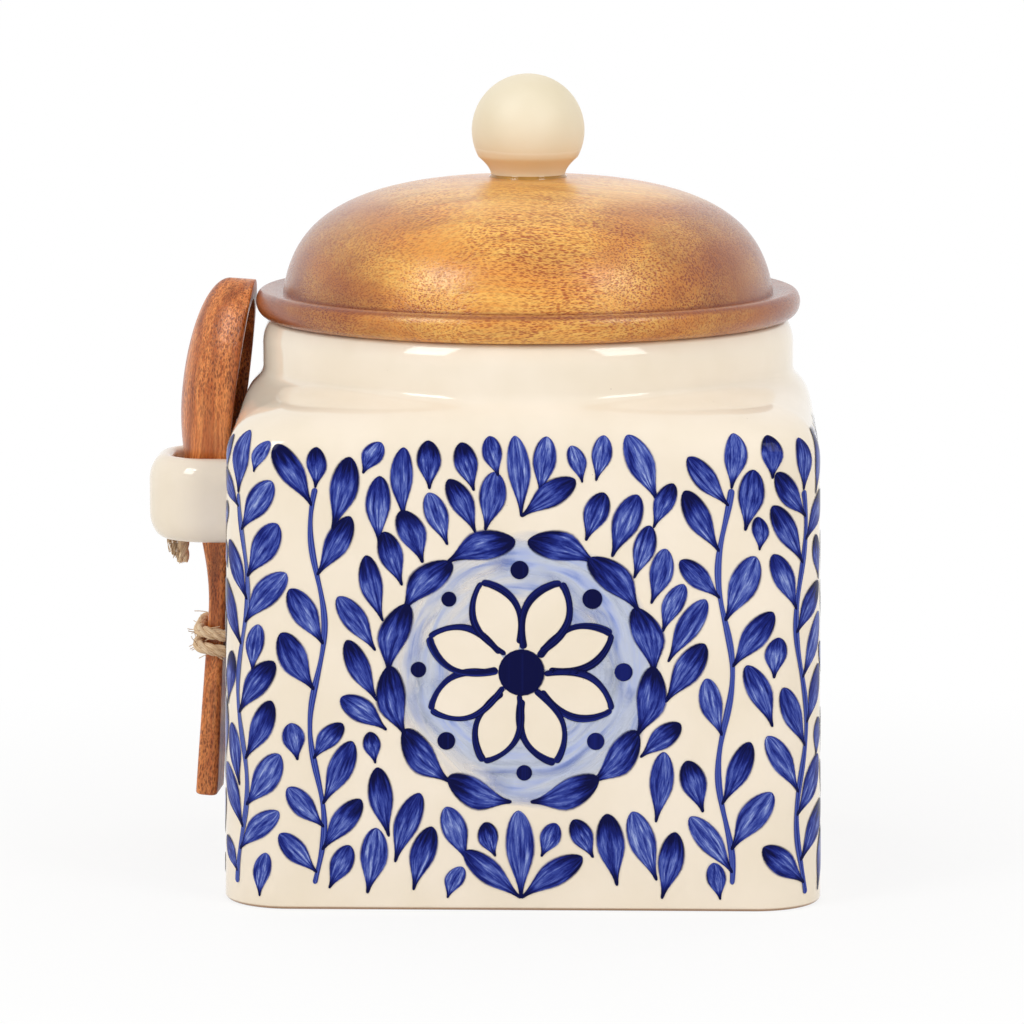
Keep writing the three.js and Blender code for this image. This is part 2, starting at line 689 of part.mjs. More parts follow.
const fixing = new THREE.Group();
fixing.position.set(0, 0, ceilingHeight - WASHER_THICKNESS);
fixing.add(piece("knob_washer", washerGeometry(), 0xa8aaac, 0.35, 1));
fixing.add(piece("knob_screw", screwGeometry(), 0xb4b6b8, 0.3, 1));
lid.add(fixing);
canister.add(lid);

const hungSpoon = new THREE.Group();
hungSpoon.position.set(spoonEndX, 0, spoonEndHeight);
hungSpoon.rotation.set(0, spoonTilt, -spoonTurn);
hungSpoon.add(piece("wooden_spoon", spoonGeometry(), 0x8a4a2a, 0.4));
hungSpoon.add(piece("twine_tie", twineGeometry(), 0xb59a72, 0.95));
canister.add(hungSpoon);

export default canister;
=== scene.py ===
"""Looks of the stoneware canister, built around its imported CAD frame.

Sizes are in millimetres in the row frame, +Z up, and become metres when a mesh is made. The painted
front faces -Y and the spoon hangs on the -X wall.
"""

import logging
import math
from dataclasses import dataclass
from enum import Enum

import bpy
import numpy as np
from bpy.types import Material, Mesh, Node, NodeSocket, NodeTree, Object
from mathutils import Matrix, Vector


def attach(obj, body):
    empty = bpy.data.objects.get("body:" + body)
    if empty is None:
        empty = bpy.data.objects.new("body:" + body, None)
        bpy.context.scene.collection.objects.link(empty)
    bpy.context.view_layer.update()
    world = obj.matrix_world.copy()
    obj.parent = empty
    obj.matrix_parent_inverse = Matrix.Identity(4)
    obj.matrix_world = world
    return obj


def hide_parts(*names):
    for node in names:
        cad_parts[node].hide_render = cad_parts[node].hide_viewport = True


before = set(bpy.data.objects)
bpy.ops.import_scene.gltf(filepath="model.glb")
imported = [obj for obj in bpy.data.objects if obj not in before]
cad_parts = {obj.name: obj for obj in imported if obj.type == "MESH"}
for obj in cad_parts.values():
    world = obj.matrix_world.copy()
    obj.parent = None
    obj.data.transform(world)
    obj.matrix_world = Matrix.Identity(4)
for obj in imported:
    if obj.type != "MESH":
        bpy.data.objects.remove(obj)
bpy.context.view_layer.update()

Array = np.ndarray
Pair = tuple[float, float]
Triple = tuple[float, float, float]
Floats = tuple[float, ...]
MM = 0.001
# Steps of this share of a turn keep each number well away from those near it in the row.
GOLDEN = 0.618034
SHARP_ANGLE = math.radians(38)
WELD = 1e-7
# Sockets of a node that mixes two colours.
SHARE, UNDER, OVER = 0, 6, 7
GLAZE_IOR = 1.52
# Chords of the tables that paint is laid on the wall by.
TABLE_STEPS, SHOULDER_STEPS = 3600, 200
WHITE = (1.0, 1.0, 1.0, 1.0)
LOG = logging.getLogger("canister")


def linear(code: str) -> tuple[float, float, float, float]:
    """Turn an sRGB hex colour into linear RGBA.

    Args:
        code: Colour as "#rrggbb".

    Returns:
        The colour's linear channels, with an alpha of 1.
    """
    channels = [int(code[i : i + 2], 16) / 255 for i in (1, 3, 5)]
    bent = [c / 12.92 if c <= 0.04045 else ((c + 0.055) / 1.055) ** 2.4 for c in channels]
    return (bent[0], bent[1], bent[2], 1.0)


def wire(tree: NodeTree, node: Node, feeds: dict) -> None:
    """Set or link inputs of a node.

    Args:
        tree: Tree that holds the node.
        node: Node to feed.
        feeds: Value, socket or node for each input, by name or number. A node gives its first output in use.
    """
    for key, value in feeds.items():
        if isinstance(value, Node):
            value = next(socket for socket in value.outputs if socket.enabled)
        if isinstance(value, NodeSocket):
            tree.links.new(value, node.inputs[key])
        else:
            node.inputs[key].default_value = value


def add(tree: NodeTree, kind: str, feeds: dict | None = None, **settings: object) -> Node:
    """Add a node to a tree with its settings and links.

    Args:
        tree: Tree that gets the node.
        kind: Blender's name of the node's type, with ShaderNode or GeometryNode left off.
        feeds: What goes into each input, as wire takes it.
        settings: Properties of the node.

    Returns:
        The new node.
    """
    shapes = tree.type == "GEOMETRY" and hasattr(bpy.types, "GeometryNode" + kind)
    family = "" if "Node" in kind else "GeometryNode" if shapes else "ShaderNode"
    made = tree.nodes.new(family + kind)
    for name, value in settings.items():
        setattr(made, name, value)
    wire(tree, made, feeds or {})
    return made


def smoothstep(value: Array | float, low: float, high: float) -> Array:
    """Ease from 0 at low to 1 at high."""
    share = np.clip((np.asarray(value, float) - low) / (high - low), 0, 1)
    return share * share * (3 - 2 * share)


def mix(a: Array | float, b: Array | float, share: Array | float) -> Array:
    """Go from a at share 0 to b at share 1."""
    return np.asarray(a + (np.asarray(b) - a) * share)


def arc(centre: Pair, reach: Pair, start: float, end: float, steps: int) -> Array:
    """Points on an elliptical arc.

    Args:
        centre: Middle of the ellipse.
        reach: Half axes of the ellipse.
        start: First angle in degrees.
        end: Last angle in degrees.
        steps: Number of chords.

    Returns:
        The arc's points, one a row.
    """
    angles = np.radians(np.linspace(start, end, steps + 1))
    return np.column_stack((centre[0] + reach[0] * np.cos(angles), centre[1] + reach[1] * np.sin(angles)))


def rounded_outline(front: Floats, back: Floats, steps: int) -> Array:
    """Outline round two corners and their mirror images on the other side of the first axis.

    Args:
        front: Middle and half axes of the corner on the +X side.
        back: The same of the corner on the -X side.
        steps: Number of chords in a corner.

    Returns:
        The outline's points, one a row.
    """
    corners = []
    for start, (x, y, wide, deep), side in ((0, front, 1), (90, back, 1), (180, back, -1), (270, front, -1)):
        corners.append(arc((x, side * y), (wide, deep), start, start + 90, steps))
    return np.vstack(corners)


def bezier(handles: list[Pair], steps: int) -> Array:
    """Points on a Bezier curve.

    Args:
        handles: Control points, first and last on the curve.
        steps: Number of chords.

    Returns:
        The curve's points, one a row.
    """
    degree = len(handles) - 1
    t = np.linspace(0, 1, steps + 1)[:, None]
    weights = [math.comb(degree, i) * t**i * (1 - t) ** (degree - i) for i in range(degree + 1)]
    return sum(w * np.array(h, float) for w, h in zip(weights, handles))


def run_of(line: Array) -> Array:
    """Distance along a line at each of its points."""
    return np.concatenate(([0.0], np.cumsum(np.linalg.norm(np.diff(line, axis=0), axis=1))))


def spots_on(line: Array, spots: Array) -> Array:
    """Points at given distances along a line, one a row."""
    way = run_of(line)
    return np.column_stack([np.interp(spots, way, column) for column in line.T])


def make_mesh(
    name: str, points: Array, faces: list, edges: list | None = None, unit: float = MM, **stored: Array
) -> Mesh:
    """Make a mesh from points.

    Args:
        name: Name of the mesh.
        points: Points, one a row.
        faces: Point numbers of each face.
        edges: Point numbers of each edge, for a mesh of lines.
        unit: Metres in one unit of the points.
        stored: Attributes with one number or one row of three a point.

    Returns:
        The mesh.
    """
    mesh = bpy.data.meshes.new(name)
    mesh.from_pydata((np.asarray(points, float) * unit).tolist(), edges or [], faces)
    for label, values in stored.items():
        vector = values.ndim == 2
        made = mesh.attributes.new(label, "FLOAT_VECTOR" if vector else "FLOAT", "POINT")
        made.data.foreach_set("vector" if vector else "value", values.astype(np.float32).ravel())
    mesh.update()
    return mesh


def chain(lines: list[Array]) -> list[tuple[int, int]]:
    """Edges that join the points of each line, where the lines' points follow one another."""
    ends = np.cumsum([len(line) for line in lines])
    return [(i, i + 1) for end, line in zip(ends, lines) for i in range(end - len(line), end - 1)]


def skin(rings: list[Array]) -> tuple[Array, list]:
    """Closed surface through rings of equal count, with a fan to the middle of both end rings.

    Args:
        rings: Points of each ring, in order.

    Returns:
        The points, and the faces as point numbers.
    """
    count = len(rings[0])
    first, last = len(rings) * count, len(rings) * count + 1
    end = (len(rings) - 1) * count
    points = np.vstack([*rings, rings[0].mean(0), rings[-1].mean(0)])
    faces = []
    for k in range(count):
        after = (k + 1) % count
        faces.append((first, after, k))
        faces.extend((a + k, a + after, a + count + after, a + count + k) for a in range(0, end, count))
        faces.append((last, end + k, end + after))
    return points, faces


def volume_of(mesh: Mesh) -> float:
    """Signed volume of a closed mesh, which is below zero where its faces point inwards.

    Args:
        mesh: The mesh.

    Returns:
        The volume in cubic metres.
    """
    mesh.calc_loop_triangles()
    corners = np.empty(len(mesh.loop_triangles) * 3, np.int32)
    mesh.loop_triangles.foreach_get("vertices", corners)
    p = points_of(mesh)[corners].reshape(-1, 3, 3)
    return float(np.einsum("ij,ij->i", p[:, 0], np.cross(p[:, 1], p[:, 2])).sum() / 6)


def points_of(mesh: Mesh) -> Array:
    """Points of a mesh, one a row, in metres.

    Args:
        mesh: The mesh.

    Returns:
        The points, one a row.
    """
    flat = np.empty(len(mesh.vertices) * 3)
    mesh.vertices.foreach_get("co", flat)
    return flat.reshape(-1, 3)


def make_piece(
    name: str,
    mesh: Mesh,
    finish: Material,
    body: str,
    stands_for: tuple[str, ...] = (),
) -> Object:
    """Shade a mesh, give it its finish and hang it on its CAD body.

    Args:
        name: Name of the piece.
        mesh: Its finished mesh.
        finish: Its material.
        body: CAD body that carries it.
        stands_for: CAD nodes that it replaces.

    Returns:
        The piece.
    """
    if volume_of(mesh) < 0:
        mesh.flip_normals()
    mesh.name = name
    mesh.shade_smooth()
    mesh.set_sharp_from_angle(angle=SHARP_ANGLE)
    mesh.materials.clear()
    mesh.materials.append(finish)
    piece = bpy.data.objects.new(name, mesh)
    bpy.context.scene.collection.objects.link(piece)
    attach(piece, body)
    if stands_for:
        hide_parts(*stands_for)
    LOG.info("%s: %d faces on body %s", name, len(mesh.polygons), body)
    return piece


def new_tree(name: str, inputs: dict[str, str]) -> tuple[NodeTree, dict[str, NodeSocket]]:
    """Start a Geometry Nodes tree with named inputs.

    Args:
        name: Name of the tree.
        inputs: Kind of socket for each input's name.

    Returns:
        The tree, and what it is given by each input's name.
    """
    tree = bpy.data.node_groups.new(name, "GeometryNodeTree")
    for label, kind in inputs.items():
        tree.interface.new_socket(label, in_out="INPUT", socket_type="NodeSocket" + kind)
    tree.interface.new_socket("Result", in_out="OUTPUT", socket_type="NodeSocketGeometry")
    given = add(tree, "NodeGroupInput").outputs
    return tree, {label: given[label] for label in inputs}


def close_tree(tree: NodeTree, shape: Node, finish: NodeSocket) -> None:
    """End a Geometry Nodes tree in real faces with a material.

    Args:
        tree: Tree to end.
        shape: Node whose geometry is put out.
        finish: Material that the tree is given.
    """
    real = add(tree, "RealizeInstances", {"Geometry": shape})
    dressed = add(tree, "SetMaterial", {"Geometry": real, "Material": finish})
    add(tree, "NodeGroupOutput", {0: dressed})


def grow(tree: NodeTree, source: Mesh, inputs: dict[str, object]) -> Mesh:
    """Run a Geometry Nodes tree on a mesh.

    Args:
        tree: Tree to run.
        source: Mesh that goes in.
        inputs: Values of the tree's named inputs.

    Returns:
        The result as a plain mesh.
    """
    carrier = bpy.data.objects.new(tree.name, source)
    bpy.context.scene.collection.objects.link(carrier)
    modifier = carrier.modifiers.new(tree.name, "NODES")
    modifier.node_group = tree
    for item in tree.interface.items_tree:
        if item.in_out == "INPUT" and item.name in inputs:
            modifier[item.identifier] = inputs[item.name]
    depsgraph = bpy.context.evaluated_depsgraph_get()
    made = bpy.data.meshes.new_from_object(
        carrier.evaluated_get(depsgraph), preserve_all_data_layers=True, depsgraph=depsgraph
    )
    carrier.modifiers.remove(modifier)
    bpy.data.objects.remove(carrier)
    return made


class Lathe:
    """Turns a profile round Z with Geometry Nodes."""

    def __init__(self) -> None:
        """Build the tree once for every turned piece."""
        self.tree, given = new_tree("turned", {"Profile": "Geometry", "Steps": "Int", "Finish": "Material"})
        tree, profile, steps = self.tree, given["Profile"], given["Steps"]
        rows = add(tree, "AttributeDomainSize", {0: profile}, component="MESH")
        columns = add(tree, "Math", {0: steps, 1: 1.0}, operation="ADD")
        grid = add(tree, "MeshGrid", {"Vertices X": rows, "Vertices Y": columns})
        index = add(tree, "InputIndex")
        ratio = add(tree, "Math", {0: index, 1: columns}, operation="DIVIDE")
        row = add(tree, "Math", {0: ratio}, operation="FLOOR")
        column = add(tree, "Math", {0: index, 1: columns}, operation="MODULO")
        share = add(tree, "Math", {0: column, 1: steps}, operation="DIVIDE")
        angle = add(tree, "Math", {0: share, 1: math.tau}, operation="MULTIPLY")
        place = add(tree, "InputPosition")
        feeds = {"Geometry": profile, "Value": place, "Index": row}
        picked = add(tree, "SampleIndex", feeds, data_type="FLOAT_VECTOR")
        turned = add(tree, "VectorRotate", {"Vector": picked, "Angle": angle}, rotation_type="Z_AXIS")
        shaped = add(tree, "SetPosition", {"Geometry": grid, "Position": turned})
        welded = add(tree, "MergeByDistance", {"Geometry": shaped, "Distance": WELD})
        close_tree(tree, welded, given["Finish"])

    def turn(self, profile: Array, steps: int, finish: Material) -> Mesh:
        """Turn one profile."""
        points = np.column_stack((profile[:, 0], np.zeros(len(profile)), profile[:, 1]))
        return grow(self.tree, make_mesh("profile", points, []), {"Steps": steps, "Finish": finish})


@dataclass(frozen=True)
class Finish:
    """A surface of the real object, made as one principled shader."""

    name: str

    def sockets(self, tree: NodeTree) -> dict[str, object]:
        """What goes into the shader's sockets, with the nodes for it added to the tree."""
        raise NotImplementedError

    def material(self) -> Material:
        """Build the material.

        Returns:
            The material.
        """
        material = bpy.data.materials.new(self.name)
        material.use_nodes = True
        tree = material.node_tree
        tree.nodes.clear()
        add(tree, "OutputMaterial", {"Surface": add(tree, "BsdfPrincipled", self.sockets(tree))})
        return material


def coated(tree: NodeTree, ground: str, coats: tuple[tuple, ...]) -> Node:
    """Lay colours over one another, each where a value lies between two limits.

    Args:
        tree: Tree of the material.
        ground: Colour underneath.
        coats: Of each coat its value, the limits where it is absent and full, its strength and its colour.

    Returns:
        The colour on top.
    """
    colour: object = linear(ground)
    for value, low, high, strength, code in coats:
        share = add(tree, "MapRange", {"Value": value, "From Min": low, "From Max": high, "To Max": strength})
        colour = add(tree, "Mix", {SHARE: share, UNDER: colour, OVER: linear(code)}, data_type="RGBA")
    return colour


def brush_hairs(tree: NodeTree, place: tuple, scales: Floats, noise: dict[str, float]) -> Node:
    """Marks of a brush's hairs, other in each stroke.

    Args:
        tree: Tree of the paint.
        place: Share of the brush's half width, the way along the stroke, and the stroke's own number.
        scales: What each of them is multiplied by.
        noise: Settings of the pattern.

    Returns:
        The streaks, about 0.5 on average.
    """
    lane = add(tree, "CombineXYZ")
    for axis, value, scale in zip("XYZ", place, scales):
        wire(tree, lane, {axis: add(tree, "Math", {0: value, 1: scale}, operation="MULTIPLY")})
    return add(tree, "TexNoise", {"Vector": lane, **noise})


def stretched(tree: NodeTree, flow: Node, cell: Pair) -> Node:
    """Coordinates counted in cells of a length along the grain and a thickness across it."""
    long, thick = cell
    return add(tree, "Mapping", {"Vector": flow, "Scale": (1 / long, 1 / thick, 1 / thick)})


@dataclass(frozen=True)
class GlazedStoneware(Finish):
    """Cast stoneware under ivory slip and a clear gloss glaze.

    The glaze gives sharp highlights over a warm body that clouds a little, with a few iron specks. The
    foot is wiped bare, so a line of brown clay shows where the jar stands. Below a set height the glaze
    can carry a painted reflection of the wooden lid: a warmer tint, edged by a pale painted horizon line.
    """

    body: str = "#f8ebd8"
    cloud: str = "#f0e2cb"
    speck: str = "#8a6b4c"
    clay: str = "#a9835f"
    roughness: float = 0.07
    specular: float = 0.5
    cloud_size: float = 22.0
    cloud_range: Pair = (0.35, 0.75)
    speck_spacing: float = 7.0
    speck_radius: float = 0.16
    speck_strength: float = 0.6
    bare_height: float = 0.9
    # Height, wave and colours of a painted reflection of the wooden lid: warmer below a pale painted horizon
    # line. The default height leaves it off.
    lid_reflection_height: float = -10.0
    reflection_edge_wave: float = 2.4
    reflected_horizon_line: str = "#fbf1dd"
    reflected_lid_tint: str = "#e6d0a8"

    def sockets(self, tree: NodeTree) -> dict[str, object]:
        """Wire the clouds, the specks, the bare foot and the painted reflection of the lid.

        Args:
            tree: Tree of the material.

        Returns:
            What goes into the shader's sockets.
        """
        place = add(tree, "TexCoord").outputs["Object"]
        clouds = add(tree, "TexNoise", {"Vector": place, "Scale": 1 / (self.cloud_size * MM), "Detail": 3.0})
        cells = add(tree, "TexVoronoi", {"Vector": place, "Scale": 1 / (self.speck_spacing * MM)})
        height = add(tree, "SeparateXYZ", {0: place}).outputs["Z"]
        wavy = add(tree, "Math", {0: clouds, 1: -self.reflection_edge_wave * MM, 2: height}, operation="MULTIPLY_ADD")
        speck, bare = self.speck_radius / self.speck_spacing, self.bare_height * MM
        edge = self.lid_reflection_height - self.reflection_edge_wave / 2
        # Where each tint of the painted lid reflection starts and is full, its strength and its colour.
        dips = (
            (edge, edge - 3.0, 0.75, self.reflected_lid_tint),
            (edge, edge - 0.12, 0.5, self.reflected_horizon_line),
            (edge - 0.3, edge - 0.9, 0.4, self.reflected_lid_tint),
        )
        coats = (
            (clouds, *self.cloud_range, 1.0, self.cloud),
            (cells, speck, 0.4 * speck, self.speck_strength, self.speck),
            (height, bare, 0.6 * bare, 1.0, self.clay),
            *((wavy, start * MM, full * MM, strength, code) for start, full, strength, code in dips),
        )
        glossy = {"Roughness": self.roughness, "IOR": GLAZE_IOR, "Specular IOR Level": self.specular}
        return {"Base Color": coated(tree, self.body, coats), **glossy}


@dataclass(frozen=True)
class CobaltPaint(Finish):
    """Cobalt brushwork under the same gloss glaze.

    Each stroke is streaked along its length where the brush ran thin, pools dark at its head, is darkest
    at the stub where the brush was set down, and bleeds a little into the glaze at its edge.
    """

    name: str = "cobalt_underglaze"
    tones: tuple[tuple[float, str], ...] = (
        (0.0, "#a3b1de"),
        (0.2, "#6475be"),
        (0.42, "#38489f"),
        (0.66, "#172378"),
        (1.0, "#04083f"),
    )
    ground: float = 0.34
    head: Pair = (0.6, 0.9)
    head_weight: float = 0.62
    loaded: Pair = (0.3, 0.75)
    stub: Pair = (0.26, 0.06)
    stub_weight: float = 0.7
    edge: Pair = (0.5, 0.86)
    edge_weight: float = 0.2
    bleed: Pair = (1.0, 0.84)
    tone_weight: float = 0.12
    streak_weight: float = 2.1
    streak_scales: Triple = (2.6, 1.6, 97.0)
    roughness: float = 0.07
    specular: float = 0.07

    def sockets(self, tree: NodeTree) -> dict[str, object]:
        """Wire how much paint each place holds, and the bleeding edge.

        Args:
            tree: Tree of the material.

        Returns:
            What goes into the shader's sockets.
        """
        along, across, tone = (
            add(tree, "Attribute", attribute_name=name).outputs["Fac"] for name in ("along", "across", "tone")
        )
        side = add(tree, "Math", {0: across}, operation="ABSOLUTE")
        ends = ((along, *self.head), (tone, *self.loaded), (along, *self.stub))
        head, loaded, stub, edge, bleed = (
            add(tree, "MapRange", {"Value": value, "From Min": low, "From Max": high})
            for value, low, high in (*ends, (side, *self.edge), (side, *self.bleed))
        )
        pooled = add(tree, "Math", {0: head, 1: loaded}, operation="MULTIPLY")
        noise = {"Scale": 1.5, "Detail": 5.0, "Roughness": 0.65}
        terms = (
            (pooled, self.head_weight),
            (stub, self.stub_weight),
            (edge, self.edge_weight),
            (tone, self.tone_weight),
            (brush_hairs(tree, (across, along, tone), self.streak_scales, noise), self.streak_weight),
        )
        load: object = self.ground - self.streak_weight / 2
        for part, weight in terms:
            load = add(tree, "Math", {0: part, 1: weight, 2: load}, operation="MULTIPLY_ADD")
        ramp = add(tree, "ValToRGB", {0: load})
        stops = ramp.color_ramp.elements
        stops[0].color, stops[1].color = linear(self.tones[0][1]), linear(self.tones[-1][1])
        for share, code in self.tones[1:-1]:
            stops.new(share).color = linear(code)
        glossy = {"Roughness": self.roughness, "IOR": GLAZE_IOR, "Specular IOR Level": self.specular}
        return {"Base Color": ramp, "Alpha": bleed, **glossy}


@dataclass(frozen=True)
class WashPaint(Finish):
    """Cobalt thinned to a wash, dragged on with a broad brush.

    It lets the ivory body show through in streaks and fades out at its edges.
    """

    name: str = "cobalt_wash"
    pale: str = "#d9e1f4"
    deep: str = "#7288cf"
    streak_lanes: float = 2.2
    streak_length: float = 16.0
    roughness: float = 0.07

    def sockets(self, tree: NodeTree) -> dict[str, object]:
        """Wire the streaks, and the cover that thins out between them and at the edges.

        Args:
            tree: Tree of the material.

        Returns:
            What goes into the shader's sockets.
        """
        run, across, tone, along = (
            add(tree, "Attribute", attribute_name=name).outputs["Fac"]
            for name in ("run", "across", "tone", "along")
        )
        scales, noise = (self.streak_lanes, 1 / self.streak_length, 53.0), {"Scale": 1.0, "Detail": 3.0}
        hairs = brush_hairs(tree, (across, run, tone), scales, {**noise, "Distortion": 0.3})
        side = add(tree, "Math", {0: across}, operation="ABSOLUTE")
        cover: object = 1.0
        # Of each value, where the wash is thinnest and full, and what is left of it where it is thinnest.
        for value, low, high, least in (
            (hairs, 0.3, 0.6, 0.35),
            (side, 1.0, 0.45, 0.0),
            (along, 0.3, 0.33, 0.0),
            (along, 0.6, 0.56, 0.0),
            (tone, 0.0, 1.0, 0.55),
        ):
            part = add(tree, "MapRange", {"Value": value, "From Min": low, "From Max": high, "To Min": least})
            cover = add(tree, "Math", {0: part, 1: cover}, operation="MULTIPLY")
        colour = coated(tree, self.pale, ((hairs, 0.46, 0.74, 1.0, self.deep),))
        return {"Base Color": colour, "Alpha": cover, "Roughness": self.roughness, "IOR": GLAZE_IOR}


@dataclass(frozen=True)
class Acacia(Finish):
    """Acacia wood under a satin varnish.

    Golden heartwood with broad growth bands and open pores. A pore is a long tube, so it cuts the surface
    in a dark dash along the grain and in a dot on end grain, which also drinks more varnish and is darker.
    """

    light: str
    band: str
    late: str
    pore: str
    end: str
    turn: Triple = (0.0, 0.0, 0.0)
    pith: Triple = (0.0, -12.0, 96.0)
    sway: Pair = (14.0, 42.0)
    ripple: Pair = (0.9, 7.0)
    band_width: float = 11.0
    band_strength: float = 0.6
    fibre: Pair = (15.0, 0.55)
    fibre_relief: float = 0.9
    fibre_strength: float = 0.8
    pore_cell: Pair = (1.5, 0.44)
    pore_radius: float = 0.37
    pore_depth: float = 0.065
    pore_strength: float = 0.95
    dot_cell: Pair = (0.9, 0.3)
    dot_strength: float = 0.6
    patch_size: float = 24.0
    end_reach: Pair = (20.0, 58.0)
    end_stray: float = 22.0
    end_strength: float = 0.9
    low_height: float = 0.0
    low_edge: float = 0.8
    low_strength: float = 0.0
    groove_height: float = -10.0
    groove_reach: Pair = (0.8, 0.15)
    groove_strength: float = 0.7
    blotch_size: float = 5.5
    blotch_squash: float = 0.16
    blotch_strength: float = 0.42
    roughness: Pair = (0.3, 0.5)
    specular: float = 0.05
    varnish: float = 1.0
    varnish_roughness: float = 0.21

    def sockets(self, tree: NodeTree) -> dict[str, object]:
        """Wire the figure of the wood, its pores and the relief of both.

        Args:
            tree: Tree of the material.

        Returns:
            What goes into the shader's sockets.
        """
        place = add(tree, "TexCoord").outputs["Object"]
        turn = [math.radians(angle) for angle in self.turn]
        grain = add(tree, "Mapping", {"Vector": place, "Rotation": turn, "Scale": (1 / MM, 1 / MM, 1 / MM)})
        flow = grain
        for reach, size in (self.sway, self.ripple):
            drift = add(tree, "TexNoise", {"Vector": grain, "Scale": 1 / size, "Detail": 1.5}).outputs["Color"]
            flow = add(tree, "VectorMath", {0: drift, 1: (reach,) * 3, 2: flow}, operation="MULTIPLY_ADD")
        thread = stretched(tree, flow, self.fibre)
        fibres = add(tree, "TexNoise", {"Vector": thread, "Scale": 1.0, "Detail": 3.0})
        coats = (*self.figure(tree, flow, fibres), *self.stains(tree, place, grain, flow))
        colour = coated(tree, self.light, coats)
        pore = self.pores(tree, flow)
        marks = {SHARE: pore, UNDER: colour, OVER: linear(self.pore)}
        marked = add(tree, "Mix", marks, data_type="RGBA", blend_type="MULTIPLY")
        low, high = self.roughness
        satin = add(tree, "MapRange", {"Value": fibres, "To Min": low, "To Max": high})
        dips = add(tree, "Math", {0: fibres, 1: self.fibre_relief, 2: pore}, operation="MULTIPLY_ADD")
        relief = {"Height": dips, "Strength": 0.6, "Distance": self.pore_depth * MM}
        bump = add(tree, "Bump", relief, invert=True)
        coat = {"Coat Weight": self.varnish, "Coat Roughness": self.varnish_roughness, "Coat Normal": bump}
        wood = {"Roughness": satin, "IOR": 1.5, "Specular IOR Level": self.specular, "Normal": bump}
        return {"Base Color": marked, **wood, **coat}

    def figure(self, tree: NodeTree, flow: Node, fibres: Node) -> tuple[tuple, ...]:
        """Growth bands, and the fibres that run through them.

        Args:
            tree: Tree of the wood.
            flow: Bent coordinates along the grain.
            fibres: Pattern of the fibres.

        Returns:
            Their coats of colour.
        """
        rings = add(tree, "Mapping", {"Vector": flow, "Location": [-v for v in self.pith]})
        # A wave of Scale 1 repeats each tau / 20 units.
        bend = {"Distortion": 1.5, "Detail": 2.0, "Detail Scale": 0.8}
        feeds = {"Vector": rings, "Scale": math.tau / 20 / self.band_width, **bend}
        bands = add(tree, "TexWave", feeds, wave_type="RINGS", rings_direction="X")
        return (
            (bands.outputs["Fac"], 0.35, 1.0, self.band_strength, self.late),
            (fibres, 0.4, 0.66, self.fibre_strength, self.band),
        )

    def stains(self, tree: NodeTree, place: NodeSocket, grain: Node, flow: Node) -> tuple[tuple, ...]:
        """Dark blotches, the end grain, the wood below a height and the foot of a turned groove.

        Args:
            tree: Tree of the wood.
            place: Object coordinates.
            grain: Straight coordinates in millimetres, with the grain along X.
            flow: Bent coordinates along the grain.

        Returns:
            Their coats of colour.
        """
        span = add(tree, "SeparateXYZ", {0: grain}).outputs["X"]
        rise = add(tree, "SeparateXYZ", {0: place}).outputs["Z"]
        clouds = add(tree, "TexNoise", {"Vector": grain, "Scale": 1 / self.patch_size, "Detail": 3.0})
        stray = add(tree, "MapRange", {"Value": clouds, "To Min": -self.end_stray, "To Max": self.end_stray})
        off = add(tree, "Math", {0: span}, operation="ABSOLUTE")
        ragged = add(tree, "Math", {0: off, 1: stray}, operation="ADD")
        apart = add(tree, "Math", {0: rise, 1: self.groove_height * MM}, operation="SUBTRACT")
        beside = add(tree, "Math", {0: apart}, operation="ABSOLUTE")
        long = add(tree, "Mapping", {"Vector": flow, "Scale": (self.blotch_squash, 1.0, 1.0)})
        noise = {"Scale": 1 / self.blotch_size, "Detail": 4.0, "Roughness": 0.6}
        blots = add(tree, "TexNoise", {"Vector": long, **noise})
        low, near, far = self.low_height * MM, *(reach * MM for reach in self.groove_reach)
        return (
            (blots, 0.48, 0.74, self.blotch_strength, self.end),
            (ragged, *self.end_reach, self.end_strength, self.end),
            (rise, low, (self.low_height - self.low_edge) * MM, self.low_strength, self.end),
            (beside, near, far, self.groove_strength, self.end),
        )

    def pores(self, tree: NodeTree, flow: Node) -> Node:
        """Mark the pores, thick in some places and thin in others.

        The real ones are under 0.2 mm wide, so they are drawn a little coarser to show at all.

        Args:
            tree: Tree of the wood.
            flow: Bent coordinates along the grain.

        Returns:
            How much of a pore is here, from 0 to 1.
        """
        both = add(tree, "Math", operation="MAXIMUM")
        soft, hard = 1.35 * self.pore_radius, 0.75 * self.pore_radius
        for k, (cell, strength) in enumerate(((self.pore_cell, 1.0), (self.dot_cell, self.dot_strength))):
            cells = add(tree, "TexVoronoi", {"Vector": stretched(tree, flow, cell), "Scale": 1.0})
            limits = {"Value": cells, "From Min": soft, "From Max": hard, "To Max": strength}
            wire(tree, both, {k: add(tree, "MapRange", limits)})
        clouds = add(tree, "TexNoise", {"Vector": flow, "Scale": 1 / self.patch_size, "Detail": 2.0})
        most = self.pore_strength
        limits = {"From Min": 0.3, "From Max": 0.62, "To Min": 0.3 * most, "To Max": most}
        patch = add(tree, "MapRange", {"Value": clouds, **limits})
        return add(tree, "Math", {0: both, 1: patch}, operation="MULTIPLY")


